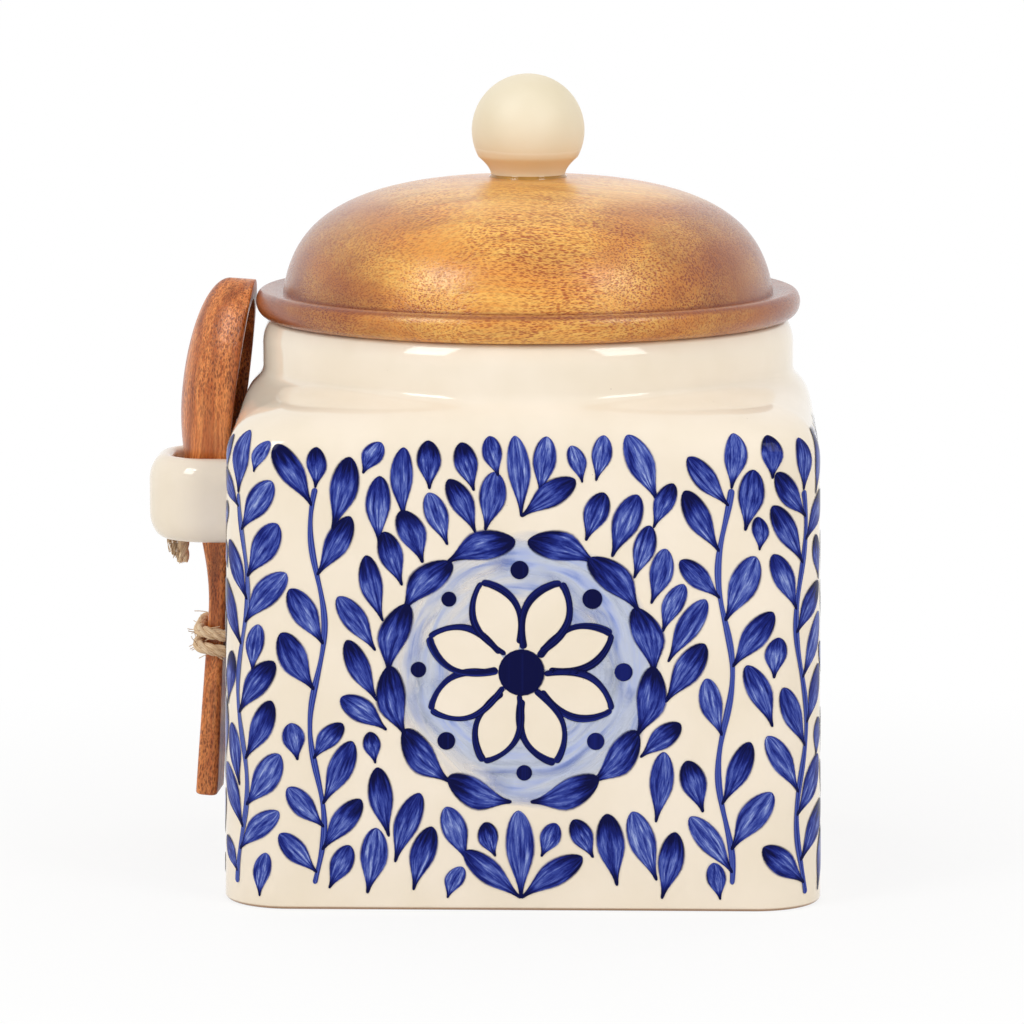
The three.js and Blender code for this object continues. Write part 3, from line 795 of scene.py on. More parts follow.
@dataclass(frozen=True)
class Jute(Finish):
    """Plied natural jute.

    Dull straw-coloured yarn whose fibres run along each ply, with darker bark flecks between them.
    """

    name: str = "natural_jute"
    straw: str = "#f4dab6"
    shade: str = "#c49c70"
    fibre_length: float = 3.0
    fibre_lanes: float = 2.4
    fibre_relief: float = 0.2

    def sockets(self, tree: NodeTree) -> dict[str, object]:
        """Wire the fibres' colour and relief.

        Args:
            tree: Tree of the material.

        Returns:
            What goes into the shader's sockets.
        """
        along = add(tree, "Attribute", attribute_name="along").outputs["Fac"]
        across = add(tree, "Attribute", attribute_name="round").outputs["Vector"]
        slow = add(tree, "Math", {0: along, 1: 1 / (self.fibre_length * MM)}, operation="MULTIPLY")
        lift = add(tree, "CombineXYZ", {"Z": slow})
        lanes = {0: across, 1: (self.fibre_lanes,) * 3, 2: lift}
        lane = add(tree, "VectorMath", lanes, operation="MULTIPLY_ADD")
        fibres = add(tree, "TexNoise", {"Vector": lane, "Scale": 1.4, "Detail": 4.0})
        bump = add(tree, "Bump", {"Height": fibres, "Strength": 0.8, "Distance": self.fibre_relief * MM})
        colour = coated(tree, self.straw, ((fibres, 0.38, 0.7, 1.0, self.shade),))
        return {"Base Color": colour, "Normal": bump, "Roughness": 0.9, "IOR": 1.45}


@dataclass(frozen=True)
class Plain(Finish):
    """A finish of one colour that clouds a little, for the small fittings."""

    colour: str
    shade: str
    metallic: float
    roughness: float
    cloud_size: float = 3.0

    def sockets(self, tree: NodeTree) -> dict[str, object]:
        """Wire the clouds.

        Args:
            tree: Tree of the material.

        Returns:
            What goes into the shader's sockets.
        """
        place = add(tree, "TexCoord").outputs["Object"]
        clouds = add(tree, "TexNoise", {"Vector": place, "Scale": 1 / (self.cloud_size * MM), "Detail": 3.0})
        colour = coated(tree, self.colour, ((clouds, 0.0, 1.0, 1.0, self.shade),))
        return {"Base Color": colour, "Metallic": self.metallic, "Roughness": self.roughness}


class Side(Enum):
    """Walls of the jar, by their order round the axis from +X."""

    RIGHT = 0
    BACK = 1
    LEFT = 2
    FRONT = 3


@dataclass
class Jar:
    """Square stoneware jar with rounded corners, a soft shoulder and a round neck."""

    width: float = 141.4
    draft: float = 0.9
    corner: float = 16.0
    foot_radius: float = 1.2
    wall_height: float = 105.0
    shoulder_rise: float = 17.0
    shoulder_round: float = 15.0
    shoulder_hollow: float = 5.0
    shoulder_ledge: float = 5.1
    neck_height: float = 11.1
    wall: float = 6.0
    floor: float = 7.0
    floor_fillet: float = 6.0
    least_corner: float = 1.5
    inside_drop: float = 5.5
    rim_lean: float = 10.5
    rim_lean_angle: float = 29.0
    rim_outer: float = 1.95
    rim_inner: float = 1.4
    flat_steps: int = 34
    corner_steps: int = 22
    wall_steps: int = 40
    curve_steps: int = 30
    arc_steps: int = 8
    probe: float = 0.05

    def __post_init__(self) -> None:
        """Work out the sizes that follow and the tables that lay paint on the wall."""
        self.shoulder_half = self.width / 2 - self.draft
        self.neck_radius = self.shoulder_half - self.shoulder_ledge
        self.rim_height = self.wall_height + self.shoulder_rise + self.neck_height
        turn = np.linspace(0, math.tau, TABLE_STEPS + 1)
        reach = self.square_reach(turn, self.wall_half(self.wall_height / 2), self.corner)
        edge = np.column_stack((reach * np.cos(turn), reach * np.sin(turn)))
        self.turn_table = turn
        self.way_table = run_of(edge)
        self.girth = float(self.way_table[-1])
        self.shoulder_table = self.shoulder_curve(0.0, SHOULDER_STEPS)

    def wall_half(self, height: Array | float) -> Array | float:
        """Half width of the outer wall at a height."""
        return self.width / 2 - self.draft * height / self.wall_height

    def square_reach(self, angle: Array, half: Array | float, corner: float) -> Array:
        """Distance from the axis to a rounded square.

        Args:
            angle: Directions in radians.
            half: Half width of the square.
            corner: Radius of its corners.

        Returns:
            The distance in each direction.
        """
        c, s = np.abs(np.cos(angle)), np.abs(np.sin(angle))
        core = half - corner
        flat = half / np.maximum(c, s)
        along = core * (c + s)
        rounded = along + np.sqrt(np.maximum(along * along - 2 * core * core + corner * corner, 0))
        return np.where(flat * np.minimum(c, s) <= core, flat, rounded)

    def shoulder_curve(self, drop: float, steps: int) -> Array:
        """Share of the square and height up the shoulder, from the wall to the neck.

        Args:
            drop: How far the curve is let down, for the inside.
            steps: Number of chords.

        Returns:
            Share, from 1 at the wall to 0 at the neck, and height of each point.
        """
        low = self.wall_height - drop
        high = low + self.shoulder_rise
        handles = [(1, low), (1, low + self.shoulder_round), (0, high - self.shoulder_hollow), (0, high)]
        return bezier(handles, steps)

    def stations(self) -> Array:
        """Directions of the mesh's columns: even along the flats, and even round each corner.

        Returns:
            The directions in radians.
        """
        half = self.width / 2
        core = half - self.corner
        edge = math.atan2(core, half)
        flat = np.linspace(-edge, edge, self.flat_steps + 1)[:-1]
        bend = arc((core, core), (self.corner, self.corner), 0, 90, self.corner_steps)[:-1]
        one = np.concatenate((flat, np.arctan2(bend[:, 1], bend[:, 0])))
        return np.concatenate([one + side.value * math.pi / 2 for side in Side])

    def outer_reach(self, angle: Array, height: Array) -> Array:
        """Distance from the axis to the outer wall or shoulder.

        Args:
            angle: Directions in radians.
            height: Heights.

        Returns:
            The distance at each direction and height.
        """
        wall = self.square_reach(angle, self.wall_half(height), self.corner)
        share = np.interp(height, self.shoulder_table[:, 1], self.shoulder_table[:, 0])
        square = self.square_reach(angle, self.shoulder_half, self.corner)
        shoulder = self.neck_radius + share * (square - self.neck_radius)
        return np.where(height > self.wall_height, shoulder, wall)

    def on_wall(self, way: Array, height: Array) -> Array:
        """Place on the outer wall.

        Args:
            way: Distance round the wall from the middle of its +X side.
            height: Height.

        Returns:
            The points, one a row.
        """
        angle = np.interp(np.mod(way, self.girth), self.way_table, self.turn_table)
        reach = self.outer_reach(angle, height)
        return np.column_stack((reach * np.cos(angle), reach * np.sin(angle), height))

    def lay(self, way: Array, height: Array, lift: Array) -> Array:
        """Place a little off the outer wall, for paint.

        Args:
            way: Distance round the wall from the middle of its +X side.
            height: Height.
            lift: Distance out of the wall.

        Returns:
            The points, one a row.
        """
        step = self.probe
        east = self.on_wall(way + step, height) - self.on_wall(way - step, height)
        north = self.on_wall(way, height + step) - self.on_wall(way, height - step)
        out = np.cross(east, north)
        out /= np.linalg.norm(out, axis=1)[:, None]
        return self.on_wall(way, height) + out * lift[:, None]

    def rings(self) -> list[Array]:
        """Rings of the whole jar, from the foot over the rim to the inside of the floor.

        Returns:
            Points of each ring.
        """
        angles = self.stations()
        spokes = np.column_stack((np.cos(angles), np.sin(angles)))

        def ring(reach: Array | float, height: float) -> Array:
            """Points of one ring."""
            return np.column_stack((spokes * np.reshape(reach, (-1, 1)), np.full(len(angles), height)))

        def square(inset: float, height: float) -> Array:
            """Points of a ring on the wall."""
            corner = max(self.corner - inset, self.least_corner)
            return ring(self.square_reach(angles, self.wall_half(height) - inset, corner), height)

        def shoulder(share: float, height: float, inset: float) -> Array:
            """Points of a ring on the shoulder.

            Args:
                share: Share of the square, from 1 at the wall to 0 at the neck.
                height: Height of the ring.
                inset: How far it is drawn in.

            Returns:
                The ring's points.
            """
            corner = max(self.corner - inset, self.least_corner)
            reach = self.square_reach(angles, self.shoulder_half - inset, corner)
            neck = self.neck_radius - inset
            return ring(neck + share * (reach - neck), height)

        foot, fillet = self.foot_radius, self.floor_fillet
        low = [square(foot - p[0], p[1]) for p in arc((0, foot), (foot, foot), -90, 0, self.arc_steps)]
        heights = np.linspace(foot, self.wall_height, self.wall_steps + 1)[1:-1]
        walls = [square(0, h) for h in heights]
        outside = [shoulder(p[0], p[1], 0) for p in self.shoulder_curve(0, self.curve_steps)]
        lean, lip, tip = self.rim_lean, self.rim_outer, math.radians(self.rim_lean_angle)
        base = self.rim_height - lean * math.sin(tip) - lip * (1 - math.sin(tip))
        inward = self.neck_radius - lean
        neck = arc((inward, base), (lean, lean), 0, self.rim_lean_angle, self.arc_steps)
        bow = (inward + (lean - lip) * math.cos(tip), base + (lean - lip) * math.sin(tip))
        edge = arc(bow, (lip, lip), self.rim_lean_angle, 90, self.arc_steps)[1:]
        inner = self.neck_radius - self.wall + self.rim_inner
        mouth = arc((inner, self.rim_height - self.rim_inner), (self.rim_inner,) * 2, 90, 180, self.arc_steps)
        rim = [ring(np.full(len(angles), p[0]), p[1]) for p in (*neck, *edge, *mouth)]
        curve = self.shoulder_curve(self.inside_drop, self.curve_steps // 2)[::-1]
        inside = [shoulder(p[0], p[1], self.wall) for p in curve]
        bend = arc((fillet, self.floor + fillet), (fillet, fillet), 180, 270, self.arc_steps)
        floor = [square(self.wall + p[0], p[1]) for p in bend]
        return [*low, *walls, *outside, *rim, *inside, *floor]

    def build(self, finish: Material) -> None:
        """Build the jar's piece in its glaze."""
        mesh = make_mesh("stoneware_jar_glazed", *skin(self.rings()))
        make_piece("stoneware_jar_glazed", mesh, finish, "jar", ("stoneware_jar",))


@dataclass
class SpoonLoop:
    """Rounded clay strap bent in a U and luted to the wall."""

    jar: Jar
    hole_half: float = 12.72
    inner_x: float = -86.62
    middle: float = 89.25
    height: float = 20.5
    thickness: float = 5.9
    inner_radius: float = 9.0
    outer_round: float = 4.0
    outer_roll: float = 6.4
    inner_round: float = 1.7
    sink: float = 0.4
    flare: float = 1.3
    flare_run: float = 2.4
    flare_steps: int = 6
    arc_steps: int = 8
    bend_steps: int = 20

    def section(self, grown: float) -> Array:
        """Outline across the strap.

        Args:
            grown: How far the outline is grown, for the flare at the wall.

        Returns:
            Distance out of the loop and height of each point.
        """
        half, tall = self.thickness / 2 + grown, self.height / 2 + grown
        outer, roll, inner = self.outer_round + grown, self.outer_roll + grown, self.inner_round + grown
        back = (inner - half, tall - inner, inner, inner)
        return rounded_outline((half - outer, tall - roll, outer, roll), back, self.arc_steps)

    def station(self, x: float, y: float, outward: float, grown: float = 0.0) -> Array:
        """Outline of the strap at one place along it.

        Args:
            x: Middle of the strap.
            y: Middle of the strap.
            outward: Direction out of the loop, in radians.
            grown: How far the outline is grown.

        Returns:
            The outline's points.
        """
        flat = self.section(grown)
        return np.column_stack(
            (x + flat[:, 0] * math.cos(outward), y + flat[:, 0] * math.sin(outward), self.middle + flat[:, 1])
        )

    def leg(self, side: int) -> list[Array]:
        """Rings of one leg, from inside the wall out to the bend.

        Args:
            side: 1 for the +Y side and -1 for the -Y side.

        Returns:
            Points of each ring.
        """
        legs = self.hole_half + self.thickness / 2
        rings = []
        for off in (-self.sink, *np.linspace(0, self.flare_run, self.flare_steps + 1)):
            grown = self.flare * (1 - max(off, 0) / self.flare_run) ** 2
            ring = self.station(0, side * legs, side * math.pi / 2, grown)
            ring[:, 0] = -self.jar.wall_half(ring[:, 2]) - off
            rings.append(ring)
        return rings

    def bend(self, side: int) -> list[Array]:
        """Rings of one bend, from the far end of the loop to its leg.

        Args:
            side: 1 for the +Y side and -1 for the -Y side.

        Returns:
            Points of each ring.
        """
        half = self.thickness / 2
        radius = min(self.inner_radius, self.hole_half) + half
        x, y = self.inner_x - half + radius, self.hole_half + half - radius
        turns = np.linspace(math.pi, math.pi - side * math.pi / 2, self.bend_steps + 1)
        return [self.station(x + radius * math.cos(t), side * y + radius * math.sin(t), t) for t in turns]

    def build(self, finish: Material) -> None:
        """Build the loop.

        Args:
            finish: The glaze.
        """
        rings = [*self.leg(-1), *self.bend(-1)[::-1], *self.bend(1), *self.leg(1)[::-1]]
        mesh = make_mesh("spoon_loop_glazed", *skin(rings))
        make_piece("spoon_loop_glazed", mesh, finish, "jar", ("spoon_loop",))


@dataclass
class Lid:
    """Turned wooden lid with its seal, ball knob and fixing."""

    lathe: Lathe
    jar: Jar
    flange_overhang: float = 1.6
    flange_height: float = 6.9
    flange_under_rise: float = 4.0
    flange_under_round: float = 3.6
    flange_top_round: float = 2.0
    flange_dip: float = 0.6
    dome_inset: float = 6.6
    dome_height: float = 27.7
    dome_side_rise: float = 12.4
    dome_side_lean: float = 2.0
    dome_shoulder_inset: float = 8.6
    dome_shoulder_drop: float = 0.9
    plug_clearance: float = 2.2
    plug_lip: float = 4.7
    plug_chamfer: float = 1.2
    plug_wall: float = 10.5
    crown_thickness: float = 14.0
    recess_fillet: float = 14.0
    seal_height: float = 4.4
    seal_depth: float = 2.5
    seal_drop: float = 4.5
    seal_clearance: float = 0.4
    knob_ball: float = 27.4
    knob_foot: float = 18.0
    knob_foot_round: float = 0.5
    knob_waist_angle: float = 28.0
    knob_waist_rise: float = 4.43
    knob_waist_pull: float = 1.8
    land_margin: float = 0.6
    screw_hole: float = 2.7
    insert_radius: float = 4.2
    insert_length: float = 12.0
    cement_gap: float = 0.3
    washer_radius: float = 7.0
    washer_thickness: float = 1.2
    squeeze_reach: float = 0.5
    squeeze_rise: float = 0.9
    squeeze_sink: float = 0.1
    squeeze_back: float = 0.3
    steps: int = 144
    curve_steps: int = 28
    arc_steps: int = 8

    def __post_init__(self) -> None:
        """Work out the heights and radii that follow."""
        self.rim = self.jar.rim_height
        self.bore = self.jar.neck_radius - self.jar.wall
        self.flange_radius = self.jar.neck_radius + self.flange_overhang
        self.dome_radius = self.flange_radius - self.dome_inset
        self.dome_base = self.rim + self.flange_height - self.flange_dip
        self.crown = self.dome_base + self.dome_height
        self.ceiling = self.crown - self.crown_thickness
        self.plug_radius = self.bore - self.plug_clearance
        self.seal_top = self.rim - self.seal_drop

    def wood_profile(self) -> Array:
        """Outline of the wooden lid, round one side from its screw hole and back.

        Returns:
            Radius and height of each point.
        """
        plug, hole, rim, steps = self.plug_radius, self.screw_hole, self.rim, self.arc_steps
        top = self.seal_top + self.seal_clearance
        low = self.seal_top - self.seal_height - self.seal_clearance
        bottom, deep, inner = low - self.plug_lip, plug - self.seal_depth, plug - self.plug_wall
        fillet, chamfer = self.recess_fillet, self.plug_chamfer
        recess = arc((inner - fillet, self.ceiling - fillet), (fillet, fillet), 90, 0, steps)
        lip = [(inner, bottom), (plug - chamfer, bottom), (plug, bottom + chamfer), (plug, low)]
        groove = [(deep, low), (deep, top), (plug, top), (plug, rim)]
        widest = rim + self.flange_under_rise
        under, over = self.flange_under_round, self.flange_top_round
        reach = (over, self.flange_height - self.flange_under_rise)
        lower = arc((self.flange_radius - under, widest), (under, self.flange_under_rise), -90, 0, steps)
        upper = arc((self.flange_radius - over, widest), reach, 0, 90, steps)[1:]
        handles = [
            (self.dome_radius, self.dome_base),
            (self.dome_radius - self.dome_side_lean, self.dome_base + self.dome_side_rise),
            (self.dome_radius - self.dome_shoulder_inset, self.crown - self.dome_shoulder_drop),
            (self.knob_foot / 2 + self.land_margin, self.crown),
        ]
        dome = bezier(handles, self.curve_steps)
        bore = [(hole, self.crown), (hole, self.ceiling)]
        return np.vstack((bore[-1:], recess, lip, groove, lower, upper, dome, bore))

    def seal_profile(self) -> Array:
        """Outline of the seal: flat against its groove, round against the neck.

        Returns:
            Radius and height of each point.
        """
        inner = self.plug_radius - self.seal_depth + self.seal_clearance
        half = self.seal_height / 2
        outer = self.bore - self.seal_clearance
        crown = min(half, outer - inner)
        low = self.seal_top - self.seal_height
        bulge = arc((outer - crown, self.seal_top - half), (crown, half), -90, 90, 2 * self.arc_steps)
        return np.vstack(((inner, low), bulge, (inner, self.seal_top), (inner, low)))

    def knob_profile(self) -> Array:
        """Outline of the knob, from the bottom of its socket to the top of its ball.

        Returns:
            Radius and height of each point.
        """
        ball, foot = self.knob_ball / 2, self.knob_foot / 2
        waist_top = self.knob_foot_round + self.knob_waist_rise
        centre = waist_top + ball * math.sin(math.radians(self.knob_waist_angle))
        socket = self.insert_radius + self.cement_gap
        depth = self.insert_length + self.cement_gap
        surface = arc((0, centre), (ball, ball), -self.knob_waist_angle, 90, 2 * self.curve_steps)
        pull = (foot, self.knob_foot_round + self.knob_waist_pull)
        waist = bezier([(foot, self.knob_foot_round), pull, tuple(surface[0])], self.arc_steps)
        outline = np.vstack(
            (
                (0, depth),
                (socket, depth),
                (socket, 0),
                (foot - self.knob_foot_round, 0),
                waist,
                surface[1:-1],
                (0, centre + ball),
            )
        )
        return outline + (0, self.crown)

    def squeeze_profile(self) -> Array:
        """Outline of the adhesive that was pressed out round the knob's foot.

        Returns:
            Radius and height of each point.
        """
        foot, reach, rise = self.knob_foot / 2, self.squeeze_reach, self.squeeze_rise
        low, back = self.crown - self.squeeze_sink, foot - self.squeeze_back
        bead = bezier(
            [
                (foot + reach, low),
                (foot + 0.8 * reach, low + 0.75 * rise),
                (foot + 0.1 * reach, low + 0.5 * rise),
                (foot, low + rise),
            ],
            self.arc_steps,
        )
        return np.vstack(((back, low), bead, (back, low + rise), (back, low)))

    def sleeve(self, inner: float, outer: float, low: float, high: float) -> Array:
        """Outline of a plain ring."""
        return np.array([(inner, low), (outer, low), (outer, high), (inner, high), (inner, low)], float)

    def build(self, finishes: dict[str, Material]) -> None:
        """Build the lid, seal, knob, insert and washer, and dress the screw.

        Args:
            finishes: Materials by the record's slots.
        """
        hole, under = self.screw_hole, self.ceiling - self.washer_thickness
        insert = self.sleeve(hole, self.insert_radius, self.crown, self.crown + self.insert_length)
        washer = self.sleeve(hole, self.washer_radius, under, self.ceiling)
        turned = (
            ("wooden_lid", self.wood_profile(), "lid", "lid_wood"),
            ("lid_seal", self.seal_profile(), "seal", "silicone"),
            ("lid_knob", self.knob_profile(), "lid", "knob_stoneware"),
            ("knob_insert", insert, "lid", "insert_brass"),
            ("knob_washer", washer, "lid", "fixing_steel"),
        )
        for node, profile, body, slot in turned:
            mesh = self.lathe.turn(profile, self.steps, finishes[slot])
            make_piece(node + "_turned", mesh, finishes[slot], body, (node,))
        bead = self.lathe.turn(self.squeeze_profile(), self.steps, finishes["adhesive"])
        make_piece("knob_adhesive_bead", bead, finishes["adhesive"], "lid")
        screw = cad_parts["knob_screw"]
        screw.data.materials.clear()
        screw.data.materials.append(finishes["fixing_steel"])


@dataclass
class Spoon:
    """Carved wooden spoon that hangs by its bowl in the loop."""

    place: Triple = (-81.309, 0.0, 15.202)
    tilt: float = 4.0
    turn: float = 3.0
    handle_length: float = 52.0
    handle_end: Pair = (15.0, 5.3)
    handle_neck: Pair = (10.0, 4.2)
    handle_edge: float = 1.4
    end_round: float = 0.8
    bowl_rise: float = 45.0
    bowl_tip: float = 30.4
    bowl_width: float = 29.0
    bowl_bulge: float = 10.3
    bulge_run: float = 52.0
    rim_dip: float = 3.5
    rim_dip_drop: float = 9.0
    rim_tip: float = 6.0
    rim_thickness: float = 2.0
    rim_edge: float = 1.0
    hollow_length: float = 45.0
    hollow_depth: float = 9.8
    hollow_tip_rim: float = 4.9
    hollow_tilt: float = 2.4
    hollow_share: Pair = (0.3, 0.97)
    lip_round: float = 0.35
    arc_steps: int = 8
    rim_steps: int = 5
    hollow_steps: int = 26
    end_steps: int = 4
    handle_steps: int = 39
    bowl_steps: int = 55
    tip_steps: int = 11
    handle_margin: float = 0.3
    tip_margin: float = 0.2

    def __post_init__(self) -> None:
        """Work out the heights that follow."""
        self.widest = self.handle_length + self.bowl_rise
        self.length = self.widest + self.bowl_tip
        self.bulge_start = self.widest - self.bulge_run
        self.dip = self.widest - self.rim_dip_drop
        self.hollow_middle = self.length - self.hollow_tip_rim - self.hollow_length / 2
        lean = Matrix.Rotation(math.radians(self.tilt), 3, "Y")
        hang = lean @ Matrix.Rotation(math.radians(-self.turn), 3, "Z")
        self.hang = np.array(hang)

    def placed(self, points: Array) -> Array:
        """Move points from the spoon's own frame to where it hangs."""
        return points @ self.hang.T + np.array(self.place)

    def taper(self, height: float) -> float:
        """Share of the bowl's full size that is left above its widest height."""
        return math.sqrt(max(0.0, 1 - ((height - self.widest) / self.bowl_tip) ** 2))

    def half_width(self, height: float) -> float:
        """Half of the spoon's width at a height.

        Args:
            height: Height on the spoon.

        Returns:
            The half width.
        """
        if height > self.widest:
            return self.bowl_width / 2 * self.taper(height)
        handle = mix(self.handle_end[0], self.handle_neck[0], smoothstep(height, 0, self.handle_length))
        return float(mix(handle, self.bowl_width, smoothstep(height, self.handle_length, self.widest))) / 2

    def bulge(self, height: float) -> float:
        """How far the bowl's back stands out at a height.

        Args:
            height: Height on the spoon.

        Returns:
            The distance behind the spoon's flat back.
        """
        if height > self.widest:
            return self.bowl_bulge * self.taper(height)
        return self.bowl_bulge * float(smoothstep(height, self.bulge_start, self.widest))

    def front(self, height: float) -> float:
        """Where the spoon's front lies at a height.

        Args:
            height: Height on the spoon.

        Returns:
            The distance before the spoon's flat back.
        """
        handle = mix(self.handle_end[1], self.handle_neck[1], smoothstep(height, 0, self.bulge_start))
        dipped = mix(handle, self.rim_dip, smoothstep(height, self.bulge_start, self.dip))
        rise = max(0.0, (height - self.dip) / (self.length - self.dip))
        return float(dipped) + (self.rim_tip - self.rim_dip) * rise

    def hollow(self, across: Array, height: float) -> Array:
        """Back of the bowl's hollow.

        Args:
            across: Places across the spoon.
            height: Height on the spoon.

        Returns:
            Where the hollow's surface lies, and infinity where there is no hollow.
        """
        deep, wide, tall = self.hollow_depth, self.bowl_width / 2 - self.rim_thickness, self.hollow_length / 2
        c, s = math.cos(math.radians(self.hollow_tilt)), math.sin(math.radians(self.hollow_tilt))
        up = height - self.hollow_middle
        a = c * c / deep**2 + s * s / tall**2
        b = 2 * c * s * up * (1 / tall**2 - 1 / deep**2)
        rest = (s * up / deep) ** 2 + (c * up / tall) ** 2 + (across / wide) ** 2 - 1
        inside = b * b - 4 * a * rest
        back = (-b - np.sqrt(np.maximum(inside, 0))) / (2 * a)
        return np.where(inside > 0, self.front(self.hollow_middle) + back, np.inf)

    def ring(self, height: float, inset: float) -> Array:
        """Section across the spoon with its hollow.

        Args:
            height: Height on the spoon.
            inset: How far the section is drawn in, at the handle's rounded end.

        Returns:
            The section's points in the spoon's frame.
        """
        half, front = self.half_width(height) - inset, self.front(height) - inset
        back = inset - self.bulge(height)
        bowl = float(smoothstep(height, self.bulge_start, self.widest))
        edge = min(float(mix(self.handle_edge, self.rim_edge, bowl)), half)
        wide = float(mix(edge, half, bowl))
        deep = float(mix(self.handle_edge, front - back - edge, bowl))
        flat = half - edge
        behind = (back + deep, half - wide, deep, wide)
        outline = rounded_outline((front - edge, flat, edge, edge), behind, self.arc_steps)
        share = (height - self.hollow_middle) / (self.hollow_length / 2)
        wall = (self.bowl_width / 2 - self.rim_thickness) * math.sqrt(max(0.0, 1 - share * share))
        wall = min(max(wall, self.hollow_share[0] * flat), self.hollow_share[1] * flat)
        rim = np.linspace(-flat, -wall, self.rim_steps + 1)[1:-1]
        bowl_across = -wall * np.cos(np.linspace(0, math.pi, self.hollow_steps + 1))
        across = np.concatenate((rim, bowl_across, -rim[::-1]))
        gap = front - self.hollow(across, height)
        soft = np.where(gap > 0, np.sqrt(gap * gap + self.lip_round**2) - self.lip_round, 0)
        face = np.column_stack((front - soft, across))
        section = np.vstack((outline, face))
        return np.column_stack((section, np.full(len(section), height)))

    def rings(self) -> list[Array]:
        """Rings from the handle's end to the bowl's tip.

        Returns:
            Points of each ring.
        """
        low, high = self.hollow_middle - self.hollow_length / 2, self.length - self.hollow_tip_rim
        end = [
            self.ring(self.end_round * (1 - math.cos(t)), self.end_round * (1 - math.sin(t)))
            for t in np.linspace(0, math.pi / 2, self.end_steps + 1)
        ]
        handle = np.linspace(self.end_round, low - self.handle_margin, self.handle_steps + 1)[1:]
        turns = np.linspace(0, math.pi, self.bowl_steps + 1)
        bowl = self.hollow_middle - self.hollow_length / 2 * np.cos(turns)
        start = math.asin((high + self.tip_margin - self.widest) / self.bowl_tip)
        tip = self.widest + self.bowl_tip * np.sin(np.linspace(start, math.pi / 2, self.tip_steps + 1))
        heights = [*handle, *bowl, *tip[:-1]]
        return [*end, *(self.ring(float(h), 0) for h in heights)]

    def build(self, finish: Material) -> None:
        """Build the spoon.

        Args:
            finish: Its wood.
        """
        points, faces = skin(self.rings())
        mesh = make_mesh("wooden_spoon_carved", self.placed(points), faces)
        make_piece("wooden_spoon_carved", mesh, finish, "spoon", ("wooden_spoon",))


